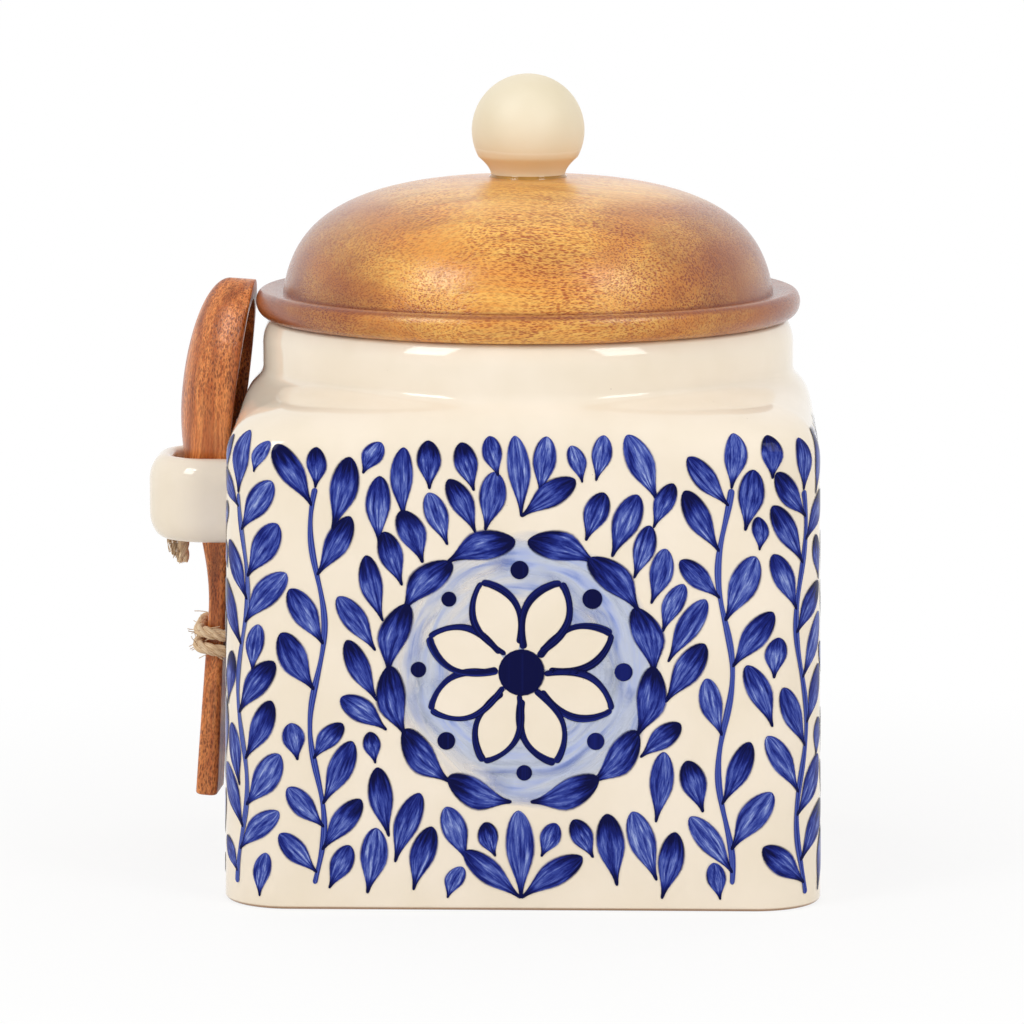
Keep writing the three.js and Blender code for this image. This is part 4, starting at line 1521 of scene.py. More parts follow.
@dataclass
class Twine:
    """Jute twine wound round the spoon's handle, up into the loop and cut off below it."""

    spoon: Spoon
    diameter: float = 3.0
    clearance: float = 0.3
    turns: int = 2
    turn_gap: float = 0.9
    height: float = 34.5
    loop_steps: int = 24
    corner_steps: int = 12
    span_steps: int = 8
    spacing: float = 0.7
    plies: int = 3
    ply_radius: float = 0.82
    lay_radius: float = 0.74
    lay_pitch: float = 9.0
    ply_sides: int = 10
    seed: int = 5
    fuzz_count: int = 150
    fuzz_length: Pair = (1.6, 4.2)
    fuzz_stand: Pair = (0.15, 0.6)
    fuzz_lean: float = 0.8
    fuzz_curl: float = 0.5
    fuzz_root: float = 0.42
    fuzz_steps: int = 4
    fibre_radius: float = 0.1
    fibre_sides: int = 4
    fray_count: int = 64
    fray_steps: int = 6
    fray_bow: float = 0.3
    fray_top_spread: Triple = (0.2, 0.9, 0.1)
    fray_cut_spread: Triple = (0.25, 0.7, 0.35)
    fray_top: tuple[Pair, Pair] = ((-88.6, 78.2), (-83.6, 78.4))
    fray_cut: tuple[Pair, Pair] = ((-87.6, 74.6), (-84.8, 72.3))
    tail: tuple[Triple, ...] = (
        *((4, 7.5, 43.6), (4.1, 7.4, 47), (2.8, 7.3, 53), (0.8, 7.9, 59.5), (-2.2, 9.2, 65.5)),
        *((-5.3, 8.9, 70.3), (-7.8, 5.6, 73.4), (-8.4, 1.6, 73.2), (-8.2, -1.2, 70), (-7.9, -2, 66)),
        *((-7.6, -2.3, 62.6), (-7.4, -2.4, 59.8), (-7.2, -2.5, 57)),
    )

    def route(self) -> Array:
        """Points that the twine's middle goes through, in the spoon's frame.

        Returns:
            The points, one a row.
        """
        middle = self.spoon.front(self.height) / 2
        edge = self.spoon.handle_edge
        deep, wide = middle - edge, self.spoon.half_width(self.height) - edge
        corner = edge + self.clearance + self.diameter / 2
        side = wide + corner
        signs = ((1, 1, 90), (1, -1, 0), (-1, -1, -90), (-1, 1, 180))
        outline = [(middle, side)]
        for front, left, start in signs:
            centre = (middle + front * deep, left * wide)
            outline.extend(arc(centre, (corner, corner), start, start - 90, self.corner_steps))
        outline = np.vstack((*outline, (middle, side)))
        loop = spots_on(outline, np.linspace(0, run_of(outline)[-1], self.loop_steps + 1))
        steps = np.arange(self.turns * self.loop_steps + 1)
        pitch = self.diameter + self.turn_gap
        wound = np.column_stack((loop[steps % self.loop_steps], self.height + pitch * steps / self.loop_steps))
        lead = (middle - self.diameter, side, self.height)
        return np.vstack((lead, wound, self.tail))

    def path(self) -> Array:
        """Even points on the smooth line through the route, where the spoon hangs.

        Returns:
            The points, one a row.
        """
        route = self.route()
        ends = np.vstack((2 * route[0] - route[1], route, 2 * route[-1] - route[-2]))
        t = np.linspace(0, 1, self.span_steps + 1)[:-1, None]
        found = []
        for a, b, c, d in zip(ends, ends[1:], ends[2:], ends[3:]):
            before, here, after = (math.sqrt(np.linalg.norm(q - p)) for p, q in ((a, b), (b, c), (c, d)))
            start = ((b - a) / before - (c - a) / (before + here) + (c - b) / here) * here
            stop = ((c - b) / here - (d - b) / (here + after) + (d - c) / after) * here
            found.append(
                (2 * t**3 - 3 * t**2 + 1) * b
                + (t**3 - 2 * t**2 + t) * start
                + (3 * t**2 - 2 * t**3) * c
                + (t**3 - t**2) * stop
            )
        dense = np.vstack((*found, route[-1]))
        length = run_of(dense)[-1]
        return self.spoon.placed(spots_on(dense, np.linspace(0, length, int(length / self.spacing) + 1)))

    def rope_tree(self) -> NodeTree:
        """Tree that lays plies round each line.

        Returns:
            The tree.
        """
        sizes = dict.fromkeys(("Lay Radius", "Lay Pitch", "Ply Radius"), "Float")
        counts = dict.fromkeys(("Plies", "Sides"), "Int")
        tree, given = new_tree("laid_rope", {"Lines": "Geometry", **sizes, **counts, "Finish": "Material"})
        lines = add(tree, "MeshToCurve", {0: given["Lines"]})
        feeds = {"Geometry": lines, "Amount": given["Plies"]}
        copies = add(tree, "DuplicateElements", feeds, domain="SPLINE")
        number = copies.outputs["Duplicate Index"]
        length = add(tree, "SplineParameter").outputs["Length"]
        feeds = {"Geometry": copies, "Name": "along", "Value": length}
        marked = add(tree, "StoreNamedAttribute", feeds, data_type="FLOAT", domain="POINT")
        lays = add(tree, "Math", {0: length, 1: given["Lay Pitch"]}, operation="DIVIDE")
        own = add(tree, "Math", {0: number, 1: given["Plies"]}, operation="DIVIDE")
        turns = add(tree, "Math", {0: lays, 1: own}, operation="ADD")
        angle = add(tree, "Math", {0: turns, 1: math.tau}, operation="MULTIPLY")
        tangent, normal = add(tree, "InputTangent"), add(tree, "InputNormal")
        feeds = {"Vector": normal, "Axis": tangent, "Angle": angle}
        turned = add(tree, "VectorRotate", feeds, rotation_type="AXIS_ANGLE")
        offset = add(tree, "VectorMath", {0: turned, "Scale": given["Lay Radius"]}, operation="SCALE")
        laid = add(tree, "SetPosition", {"Geometry": marked, "Offset": offset})
        feeds = {"Resolution": given["Sides"], "Radius": given["Ply Radius"]}
        circle = add(tree, "CurvePrimitiveCircle", feeds)
        unit = add(tree, "VectorMath", {0: add(tree, "InputPosition")}, operation="NORMALIZE")
        feeds = {"Geometry": circle, "Name": "round", "Value": unit}
        section = add(tree, "StoreNamedAttribute", feeds, data_type="FLOAT_VECTOR", domain="POINT")
        feeds = {"Curve": laid, "Profile Curve": section, "Fill Caps": True}
        close_tree(tree, add(tree, "CurveToMesh", feeds), given["Finish"])
        return tree

    def fuzz(self, path: Array, rng: np.random.Generator) -> list[Array]:
        """Loose fibres that stand off the twine on its open side.

        Args:
            path: Points of the twine's middle.
            rng: Source of chance.

        Returns:
            Points of each fibre.
        """
        lines = []
        t = np.linspace(0, 1, self.fuzz_steps + 1)[:, None]
        core = self.spoon.placed(np.array([[self.spoon.front(self.height) / 2, 0, self.height]]))[0]
        for k in rng.integers(2, len(path) - 3, self.fuzz_count):
            run = path[k + 1] - path[k - 1]
            run /= np.linalg.norm(run)
            side = np.cross(run, rng.normal(size=3))
            side /= np.linalg.norm(side)
            side *= 1 if side[:2] @ (path[k] - core)[:2] > 0 else -1
            curl = np.cross(run, side) * rng.uniform(-self.fuzz_curl, self.fuzz_curl)
            way = side * rng.uniform(*self.fuzz_stand) + run * rng.choice((-1, 1)) * self.fuzz_lean
            length, root = rng.uniform(*self.fuzz_length), path[k] + side * self.diameter * self.fuzz_root
            lines.append(root + length * (t * way + t * t * curl))
        return lines

    def frayed(self, path: Array, rng: np.random.Generator) -> list[Array]:
        """Fibres of the cut end, opened to a tuft with a slanting cut.

        Args:
            path: Points of the twine's middle.
            rng: Source of chance.

        Returns:
            Points of each fibre.
        """
        lines = []
        t = np.linspace(0, 1, self.fray_steps + 1)[:, None]
        for share in np.linspace(0, 1, self.fray_count):
            ends = (mix(np.array(low), high, share) for low, high in (self.fray_top, self.fray_cut))
            start, cut = (np.array((x, path[-1][1], z)) for x, z in ends)
            start = start + rng.normal(size=3) * self.fray_top_spread
            cut = cut + rng.normal(size=3) * self.fray_cut_spread
            bow = (start + cut) / 2 + rng.normal(size=3) * self.fray_bow
            lines.append((1 - t) ** 2 * start + 2 * t * (1 - t) * bow + t * t * cut)
        return lines

    def spun(self, tree: NodeTree, lines: list[Array], finish: Material, laid: bool) -> Mesh:
        """Spin yarn along lines. Single fibres are drawn coarser than real ones so that they show at all.

        Args:
            tree: The rope's tree.
            lines: Points of each line.
            finish: The jute.
            laid: Whether the yarn is laid up of plies, or is a single fibre.

        Returns:
            The yarn's mesh.
        """
        sizes = {
            "Plies": self.plies if laid else 1,
            "Lay Radius": self.lay_radius * MM if laid else 0.0,
            "Lay Pitch": self.lay_pitch * MM,
            "Ply Radius": (self.ply_radius if laid else self.fibre_radius) * MM,
            "Sides": self.ply_sides if laid else self.fibre_sides,
            "Finish": finish,
        }
        return grow(tree, make_mesh("twine_line", np.vstack(lines), [], chain(lines)), sizes)

    def build(self, finish: Material) -> None:
        """Build the twine with its loose fibres and its frayed cut end.

        Args:
            finish: The jute.
        """
        path = self.path()
        rng = np.random.default_rng(self.seed)
        tree = self.rope_tree()
        rope = self.spun(tree, [path], finish, True)
        piece = make_piece("twine_laid", rope, finish, "spoon", ("twine_tie",))
        fibres = {"twine_fuzz": self.fuzz(path, rng), "twine_frayed_end": self.frayed(path, rng)}
        loose = [
            make_piece(name, self.spun(tree, lines, finish, False), finish, "spoon")
            for name, lines in fibres.items()
        ]


@dataclass
class Painting:
    """Free brushwork on the jar's walls: leafed sprigs, and a rosette in a ring of commas.

    It is drawn flat, with the distance round the wall and the height in millimetres, and then laid on.
    """

    jar: Jar
    seed: int = 23
    low: float = 2.6
    high: float = 113.5
    leaf_length: Pair = (14.5, 17.5)
    leaf_width: float = 3.45
    leaf_spread: Pair = (0.85, 1.08)
    leaf_thin: Pair = (0.45, 26.0)
    leaf_shoulder: float = 0.58
    leaf_stub: float = 0.13
    leaf_toe: float = 0.04
    leaf_bend: float = 1.8
    leaf_gap: float = -0.15
    leaf_cover: Floats = (0.42, 0.54, 0.66, 0.78, 0.89)
    leaf_least: float = 0.004
    leaf_bleed: Triple = (0.94, 0.06, 0.03)
    leaf_steps: int = 16
    leaf_lanes: int = 6
    leaf_jitter: Pair = (-4.0, 4.0)
    # Turn in degrees and share of the length that are tried until a leaf finds room.
    leaf_tries: tuple[Pair, ...] = ((0, 1), (7, 0.96), (-8, 0.92), (14, 0.84), (-12, 0.8), (0, 0.7), (4, 0.58))
    tip_shares: Floats = (0.9, 0.75, 0.6)
    tip_tilt: Pair = (-9.0, 9.0)
    stem_half: float = 0.8
    stem_guard: float = 1.5
    stem_load: Pair = (0.5, 0.62)
    outline_half: float = 0.85
    outline_load: Pair = (0.84, 0.8)
    line_step: float = 0.9
    line_least: float = 0.02
    line_wave: float = 0.16
    line_beat: float = 0.37
    line_spread: Pair = (-0.14, 0.14)
    line_lanes: int = 6
    cap_steps: int = 5
    sprigs_a_wall: int = 7
    sprig_start: Pair = (0.0, 5.0)
    sprig_short: Pair = (13.0, 16.0)
    sprig_points: int = 120
    sprig_least: int = 70
    sprig_trim: int = 13
    vine_sway: float = 1.7
    vine_wave: float = 47.0
    vine_spacing: float = 5.5
    vine_tilt: float = 31.0
    medal_middle: float = 57.0
    comma_radius: float = 31.0
    comma_count: int = 6
    comma_span: Pair = (-86.0, 56.0)
    comma_length: float = 16.2
    comma_width: float = 4.1
    comma_spread: Pair = (0.95, 1.05)
    comma_tone: Pair = (0.6, 1.0)
    ring_span: Pair = (-70.0, 74.0)
    ring_gap: float = 3.4
    ring_spacing: float = 2.4
    ring_points: int = 60
    fan_spreads: Floats = (90, 64, 116, 40, 140, 20, 160)
    fan_length: float = 19.0
    fan_shrink: float = 14.0
    fan_rise: float = 5.5
    fan_foot: float = 0.5
    fan_foot_extra: float = 2.0
    petal_count: int = 8
    petal_reach: Pair = (4.2, 23.0)
    petal_half: float = 6.0
    petal_points: int = 20
    petal_jitter: Pair = (-0.04, 0.04)
    petal_spread: Pair = (0.95, 1.04)
    dot_reach: float = 24.0
    dot_radius: float = 2.1
    dot_jitter: Pair = (-0.05, 0.05)
    dot_spread: Pair = (0.85, 1.15)
    dot_tone: Pair = (0.5, 1.0)
    dot_sides: int = 24
    heart_radius: float = 5.6
    heart_shift: float = 0.2
    heart_tone: float = 0.95
    wash_half: float = 5.4
    wash_run: Pair = (1.6, 3.4)
    wash_points: int = 40
    wash_load: Pair = (0.3, 0.6)
    wash_reaches: Floats = (6.5, 11.5, 16.5, 21.0, 25.0, 28.0)
    filler_lengths: Floats = (17.0, 14.0, 11.5, 9.5, 8.0)
    filler_tries: int = 2600
    filler_angles: Pair = (62.0, 118.0)
    filler_spread: Pair = (0.92, 1.08)
    filler_margin: float = 6.0
    sink: float = 0.05
    overlay: float = 0.02
    lifts: Floats = (0.05, 0.105, 0.13, 0.155, 0.18)

    def __post_init__(self) -> None:
        """Draw the whole design flat."""
        self.rng = np.random.default_rng(self.seed)
        self.quarter = self.jar.girth / 4
        self.taken = np.empty((0, 3))
        self.stems: list[Array] = []
        self.outlines: list[Array] = []
        self.washes: list[Array] = []
        self.leaves: list[Floats] = []
        self.dots: list[Floats] = []
        self.petals: list[Array] = []
        for side in (Side.FRONT, Side.BACK):
            self.draw_medal(side.value * self.quarter)
        self.draw_sprigs()
        self.fill_gaps()

    def chance(self, low: float, high: float) -> float:
        """A number drawn evenly between two others."""
        return float(self.rng.uniform(low, high))

    def is_free(self, discs: Array) -> bool:
        """Whether discs lie on the wall and clear of all that is drawn.

        Args:
            discs: Place, height and radius of each disc.

        Returns:
            True where nothing is in the way.
        """
        if (discs[:, 1] - discs[:, 2]).min() < self.low or (discs[:, 1] + discs[:, 2]).max() > self.high:
            return False
        apart = discs[:, None, :2] - self.taken[None, :, :2]
        apart[..., 0] = np.mod(apart[..., 0] + self.jar.girth / 2, self.jar.girth) - self.jar.girth / 2
        room = np.hypot(apart[..., 0], apart[..., 1]) - discs[:, None, 2] - self.taken[None, :, 2]
        return not len(self.taken) or bool(room.min() > self.leaf_gap)

    def leaf_form(self, along: Array) -> Array:
        """Half width of a leaf as a share of its widest, from stub to head.

        Args:
            along: Share of the leaf's length.

        Returns:
            The share at each place.
        """
        swell = self.leaf_stub + (1 - self.leaf_stub) * smoothstep(along, 0.02, self.leaf_shoulder)
        head = np.clip((along - self.leaf_shoulder) / (1 - self.leaf_shoulder), 0, 1)
        foot = np.clip(1 - along / self.leaf_toe, 0, 1)
        return swell * (1 - head**2.2) ** 0.6 * (1 - foot**2) ** 0.5

    def leaf_discs(self, leaf: Floats) -> Array:
        """Discs that cover a leaf apart from its stub.

        Args:
            leaf: Its place, height, angle, length, half width, bend and tone.

        Returns:
            Place, height and radius of each disc.
        """
        way, height, angle, length, width, bend = leaf[:6]
        t = np.array(self.leaf_cover)
        x, y = t * length, bend * t * t
        c, s = math.cos(angle), math.sin(angle)
        return np.column_stack((way + x * c - y * s, height + x * s + y * c, width * self.leaf_form(t)))

    def put_leaf(self, leaf: Floats) -> None:
        """Draw a leaf and keep later strokes off it."""
        self.leaves.append(leaf)
        self.taken = np.vstack((self.taken, self.leaf_discs(leaf)))

    def try_leaf(self, way: float, height: float, angle: float, length: float) -> bool:
        """Draw a leaf where there is room for it.

        Args:
            way: Place of its stub round the wall.
            height: Height of its stub.
            angle: Direction in radians.
            length: Length.

        Returns:
            True where the leaf was drawn.
        """
        least, full = self.leaf_thin
        width = self.leaf_width * self.chance(*self.leaf_spread) * min(1.0, least + length / full)
        bend = self.chance(-1, 1) * self.leaf_bend
        leaf = (way, height, angle, length, width, bend, self.chance(0, 1))
        free = self.is_free(self.leaf_discs(leaf))
        if free:
            self.put_leaf(leaf)
        return free

    def along_line(self, line: Array, spacing: float) -> Array:
        """Even points along a line, with the direction of its run.

        Args:
            line: Points of the line.
            spacing: Distance between points.

        Returns:
            Place, height and direction in radians, one point a row.
        """
        spots = np.arange(spacing / 2, run_of(line)[-1], spacing)
        here, ahead = spots_on(line, spots), spots_on(line, spots + 0.1)
        return np.column_stack((here, np.arctan2(*(ahead - here).T[::-1])))

    def draw_stem(self, line: Array) -> None:
        """Draw a stem along points and keep leaves off it.

        Args:
            line: Points of the stem.
        """
        self.stems.append(line)
        even = self.along_line(line, self.stem_guard)
        even[:, 2] = self.stem_half
        self.taken = np.vstack((self.taken, even))

    def dress_line(self, line: Array, sides: tuple[int, ...], spacing: float) -> None:
        """Set rising leaves along a line.

        Args:
            line: Points of the line.
            sides: Sides that the leaves lean to, 1 for the left and -1 for the right.
            spacing: Distance between leaves.
        """
        for k, (x, y, _) in enumerate(self.along_line(line, spacing)):
            side = sides[k % len(sides)]
            for turn, share in self.leaf_tries:
                angle = math.radians(90 + side * (self.vine_tilt + turn + self.chance(*self.leaf_jitter)))
                if self.try_leaf(x, y, angle, share * self.chance(*self.leaf_length)):
                    break

    def draw_sprigs(self) -> None:
        """Draw the climbing sprigs all round, broken off where they meet a medal."""
        count = 4 * self.sprigs_a_wall
        for k in range(count):
            way = (k + 0.5) * self.jar.girth / count
            start = self.low + self.chance(*self.sprig_start)
            height = np.linspace(start, self.high - self.chance(*self.sprig_short), self.sprig_points)
            sway = self.vine_sway * np.sin(height * math.tau / self.vine_wave + self.chance(0, math.tau))
            line = np.column_stack((way + sway, height))
            gap = np.column_stack((line, np.full(len(line), self.stem_half)))
            clear = [self.is_free(row[None]) for row in gap]
            for run in np.split(np.arange(len(line)), np.flatnonzero(np.diff(clear)) + 1):
                whole = run[-1] == len(line) - 1
                if clear[run[0]] and len(run) > self.sprig_least:
                    self.draw_stem(line[run if whole else run[: -self.sprig_trim]])
        for line in self.stems:
            for share in self.tip_shares:
                angle = math.radians(90 + self.chance(*self.tip_tilt))
                if self.try_leaf(*line[-1], angle, share * self.chance(*self.leaf_length)):
                    break
        for line in self.stems:
            self.dress_line(line, (1, -1), self.vine_spacing)

    def draw_medal(self, middle: float) -> None:
        """Draw the ring of commas with its rosette, and a fan of leaves above and below it.

        Args:
            middle: Place of the medal round the wall.
        """
        height, radius, length = self.medal_middle, self.comma_radius, self.comma_length
        for turn in (1, -1):
            for angle in np.radians(np.linspace(*self.comma_span, self.comma_count)):
                spot = (middle + turn * radius * math.cos(angle), height + radius * math.sin(angle))
                run = angle + math.pi / 2 if turn > 0 else math.pi / 2 - angle
                bend = turn * length**2 / (2 * radius)
                size = (length * self.chance(*self.comma_spread), self.comma_width)
                self.put_leaf((*spot, run, *size, bend, self.chance(*self.comma_tone)))
        self.taken = np.vstack((self.taken, (middle, height, radius)))
        for turn in (1, -1):
            angle = np.radians(np.linspace(*self.ring_span, self.ring_points))
            ring = np.column_stack((turn * np.cos(angle), np.sin(angle))) * (radius + self.ring_gap)
            self.dress_line(ring + (middle, height), (-turn,), self.ring_spacing)
        for spread in self.fan_spreads:
            long = self.fan_length - abs(spread - 90) / self.fan_shrink
            self.try_leaf(middle, height + radius + self.fan_rise, math.radians(spread), long)
            self.try_leaf(middle, self.low + self.fan_foot, math.radians(spread), long + self.fan_foot_extra)
        self.draw_rosette(middle, height)
        self.draw_washes(middle, height)

    def draw_rosette(self, middle: float, height: float) -> None:
        """Draw the rosette's petals, its middle and the dots round it.

        Args:
            middle: Place of the rosette round the wall.
            height: Height of its middle.
        """
        for k in range(self.petal_count):
            angle = math.tau * (k + 0.5) / self.petal_count + self.chance(*self.petal_jitter)
            grown = self.chance(*self.petal_spread)
            halves = [self.petal_side((middle, height), angle, turn * grown) for turn in (1, -1)]
            self.petals.append(np.vstack((halves[0], halves[1][::-1])))
            self.outlines.extend((halves[0][1:], halves[1][2:]))
            turn, reach = math.tau * k / self.petal_count + self.chance(*self.dot_jitter), self.dot_reach
            spot = (middle + reach * math.cos(turn), height + reach * math.sin(turn))
            radius = self.dot_radius * self.chance(*self.dot_spread)
            self.dots.append((*spot, radius, self.chance(*self.dot_tone)))
        shift = self.heart_shift
        self.dots.append((middle + shift, height - shift, self.heart_radius, self.heart_tone))

    def petal_side(self, middle: Pair, angle: float, turn: float) -> Array:
        """One side of a petal, from the rosette's middle to the petal's tip.

        Args:
            middle: Middle of the rosette.
            angle: Direction of the petal in radians.
            turn: Side and size of the half petal.

        Returns:
            The line's points.
        """
        t = np.linspace(0, 1, self.petal_points)
        inner, outer = self.petal_reach
        reach = inner + (outer - inner) * t
        wide = turn * self.petal_half * (np.sin(t**0.95 * math.pi) ** 0.8 * (0.55 + 0.5 * t) + 0.12 * (1 - t))
        c, s = math.cos(angle), math.sin(angle)
        return np.column_stack((middle[0] + reach * c - wide * s, middle[1] + reach * s + wide * c))

    def draw_washes(self, middle: float, height: float) -> None:
        """Draw the broad thin strokes behind the rosette.

        Args:
            middle: Place of the rosette round the wall.
            height: Height of its middle.
        """
        for reach in self.wash_reaches:
            for _ in range(2 if reach < 10 else 3):
                start, run = self.chance(0, math.tau), self.chance(*self.wash_run)
                angle = np.linspace(start, start + run, self.wash_points)
                ring = np.column_stack((np.cos(angle), np.sin(angle))) * (reach + self.chance(-1, 1))
                self.washes.append(ring + (middle, height))

    def fill_gaps(self) -> None:
        """Set loose leaves wherever there is still room."""
        for length in self.filler_lengths:
            for _ in range(self.filler_tries):
                way = self.chance(0, self.jar.girth)
                height = self.chance(self.low, self.high - self.filler_margin)
                angle = math.radians(self.chance(*self.filler_angles))
                self.try_leaf(way, height, angle, length * self.chance(*self.filler_spread))

    def leaf_mesh(self) -> Mesh:
        """One leaf of unit length and half width, closed underneath, with its paint's run stored on it.

        Returns:
            The leaf's mesh.
        """
        steps, lanes = self.leaf_steps, self.leaf_lanes
        t = (1 - np.cos(np.linspace(0, math.pi, steps + 1))) / 2
        form = np.maximum(self.leaf_form(t), self.leaf_least)
        shares = np.array([*np.linspace(-1, 1, lanes + 1), 1.0, -1.0])
        tops = [*np.ones(lanes + 1), -1.0, -1.0]
        rings = [np.column_stack((np.full(len(shares), x), shares * w, tops)) for x, w in zip(t, form)]
        points, faces = skin(rings)
        along = points[:, 0]
        across = np.concatenate((np.tile(shares, steps + 1), (0.0, 0.0)))
        # Both ends count as edges, so that they bleed as the sides do.
        head, fade, foot = self.leaf_bleed
        ends = np.maximum(np.clip((along - head) / fade, 0, 1), np.clip(1 - along / foot, 0, 1))
        across = np.sign(across) * np.maximum(np.abs(across), ends)
        return make_mesh("leaf_stroke", points, faces, unit=1.0, along=along, across=across)

    def dot_mesh(self) -> Mesh:
        """One round dab of unit radius, closed underneath, as dark as a stroke's head.

        Returns:
            The dab's mesh.
        """
        turn = np.linspace(0, math.tau, self.dot_sides + 1)[:-1]
        circle = np.column_stack((np.cos(turn), np.sin(turn)))
        levels = ((1, -1), (1, 1), (0.8, 1), (0.4, 1))
        points, faces = skin([np.column_stack((circle * r, np.full(len(turn), z))) for r, z in levels])
        rim = np.hypot(points[:, 0], points[:, 1]) > 0.95
        across = np.where(rim, 1.0, 0.8 * points[:, 0])
        along = np.full(len(points), 0.8)
        return make_mesh("dot_stroke", points, faces, unit=1.0, along=along, across=across)

    def stroke_tree(self) -> NodeTree:
        """Tree that sets a brush stroke at each mark, turned, sized and bent.

        Returns:
            The tree.
        """
        inputs = {"Marks": "Geometry", "Shape": "Object", "Finish": "Material"}
        tree, given = new_tree("brush_strokes", inputs)
        kinds = {"angle": "FLOAT", "size": "FLOAT_VECTOR", "bend": "FLOAT", "along": "FLOAT"}
        angle, size, bend, along = (
            add(tree, "InputNamedAttribute", {"Name": name}, data_type=kind)
            for name, kind in kinds.items()
        )
        shape = add(tree, "ObjectInfo", {"Object": given["Shape"]}).outputs["Geometry"]
        turn = add(tree, "FunctionNodeEulerToRotation", {0: add(tree, "CombineXYZ", {"Z": angle})})
        feeds = {"Points": given["Marks"], "Instance": shape, "Rotation": turn, "Scale": size}
        set_down = add(tree, "InstanceOnPoints", feeds)
        real = add(tree, "RealizeInstances", {"Geometry": set_down})
        squared = add(tree, "Math", {0: along, 1: 2.0}, operation="POWER")
        shift = add(tree, "Math", {0: squared, 1: bend}, operation="MULTIPLY")
        aside = add(tree, "CombineXYZ", {"Y": shift})
        offset = add(tree, "VectorRotate", {"Vector": aside, "Angle": angle}, rotation_type="Z_AXIS")
        bent = add(tree, "SetPosition", {"Geometry": real, "Offset": offset})
        close_tree(tree, bent, given["Finish"])
        return tree

    def ribbon_tree(self) -> NodeTree:
        """Tree that draws a brush line of a stored half width along each run of points.

        Returns:
            The tree.
        """
        inputs = {"Lines": "Geometry", "Shape": "Object", "Finish": "Material"}
        tree, given = new_tree("brush_lines", inputs)
        reach = add(tree, "InputNamedAttribute", {"Name": "reach"}, data_type="FLOAT")
        lines = add(tree, "MeshToCurve", {0: given["Lines"]})
        shape = add(tree, "ObjectInfo", {"Object": given["Shape"]}).outputs["Geometry"]
        section = add(tree, "MeshToCurve", {0: shape})
        feeds = {"Curve": lines, "Profile Curve": section, "Scale": reach, "Fill Caps": True}
        close_tree(tree, add(tree, "CurveToMesh", feeds), given["Finish"])
        return tree

    def wrapped(self, flat: Mesh, lift: float) -> Mesh:
        """Lay a flat mesh of strokes on the wall.

        Args:
            flat: Strokes drawn with X round the wall and Y up it, in millimetres.
            lift: How far their faces stand off the glaze.

        Returns:
            The same mesh, on the wall.
        """
        points, tone = points_of(flat), np.empty(len(flat.vertices), np.float32)
        flat.attributes["tone"].data.foreach_get("value", tone)
        out = np.where(points[:, 2] > 0, lift + self.overlay * tone.astype(float), -self.sink)
        laid = self.jar.lay(points[:, 0], points[:, 1], out) * MM
        flat.vertices.foreach_set("co", laid.astype(np.float32).ravel())
        flat.update()
        return flat

    def brushed(
        self, name: str, tree: NodeTree, source: Mesh, shape: Mesh, lift: float, finish: Material
    ) -> None:
        """Set down strokes and lay them on the wall as one piece.

        Args:
            name: Name of the piece.
            tree: Tree that sets them down.
            source: Their marks or lines.
            shape: One stroke, or the section of a line.
            lift: How far the paint stands off the glaze.
            finish: The paint.
        """
        holder = bpy.data.objects.new(shape.name, shape)
        mesh = grow(tree, source, {"Shape": holder, "Finish": finish})
        bpy.data.objects.remove(holder)
        make_piece(name, self.wrapped(mesh, lift), finish, "jar")

    def mark_mesh(self, marks: Array) -> Mesh:
        """Points that strokes are set at.

        Args:
            marks: Place, height, angle, length, half width, bend and tone of each stroke.

        Returns:
            The points' mesh.
        """
        stored = {"angle": marks[:, 2], "bend": marks[:, 5], "tone": marks[:, 6]}
        stored["size"] = np.column_stack((marks[:, 3:5], np.ones(len(marks))))
        spots = np.column_stack((marks[:, :2], np.zeros(len(marks))))
        return make_mesh("marks", spots, [], unit=1.0, **stored)

    def line_mesh(self, lines: list[Array], half: float, load: Pair) -> Mesh:
        """Lines with a half width that rounds off at both ends.

        Args:
            lines: Points of each line.
            half: Half width of the brush.
            load: Share of a stroke's run that the paint starts and ends at, which is dark at its head.

        Returns:
            The lines' mesh.
        """
        tables = []
        cap = half * (1 - np.cos(np.linspace(0, math.pi / 2, self.cap_steps + 1)))
        for number, line in enumerate(lines):
            length = run_of(line)[-1]
            body = np.linspace(half, length - half, max(2, int(length / self.line_step)))
            spots = np.concatenate((cap[:-1], body, length - cap[-2::-1]))
            inside = np.clip(1 - np.minimum(spots, length - spots) / half, 0, 1)
            wave = 1 + self.line_wave * np.sin(spots * self.line_beat + self.chance(0, 6))
            wave = wave + self.chance(*self.line_spread)
            reach = np.maximum(half * wave * np.sqrt(1 - inside**2), self.line_least)
            tone = np.full(len(spots), load[0] + (1 - load[0]) * (number * GOLDEN % 1))
            along = load[0] + (load[1] - load[0]) * spots / length
            flat = np.zeros(len(spots))
            tables.append(np.column_stack((spots_on(line, spots), flat, reach, along, spots, tone)))
        table = np.vstack(tables)
        stored = dict(zip(("reach", "along", "run", "tone"), table[:, 3:].T))
        return make_mesh("brush_line", table[:, :3], [], chain(tables), unit=1.0, **stored)

    def section_mesh(self) -> Mesh:
        """Section of a brush line of unit half width, with the share of that width stored on it.

        Returns:
            The section's mesh.
        """
        top = [(x, 1.0, 0.0) for x in np.linspace(-1, 1, self.line_lanes + 1)]
        outline = np.array([*top, (1.0, -1.0, 0.0), (-1.0, -1.0, 0.0)])
        edges = [(i, (i + 1) % len(outline)) for i in range(len(outline))]
        return make_mesh("line_section", outline, [], edges, unit=1.0, across=outline[:, 0])

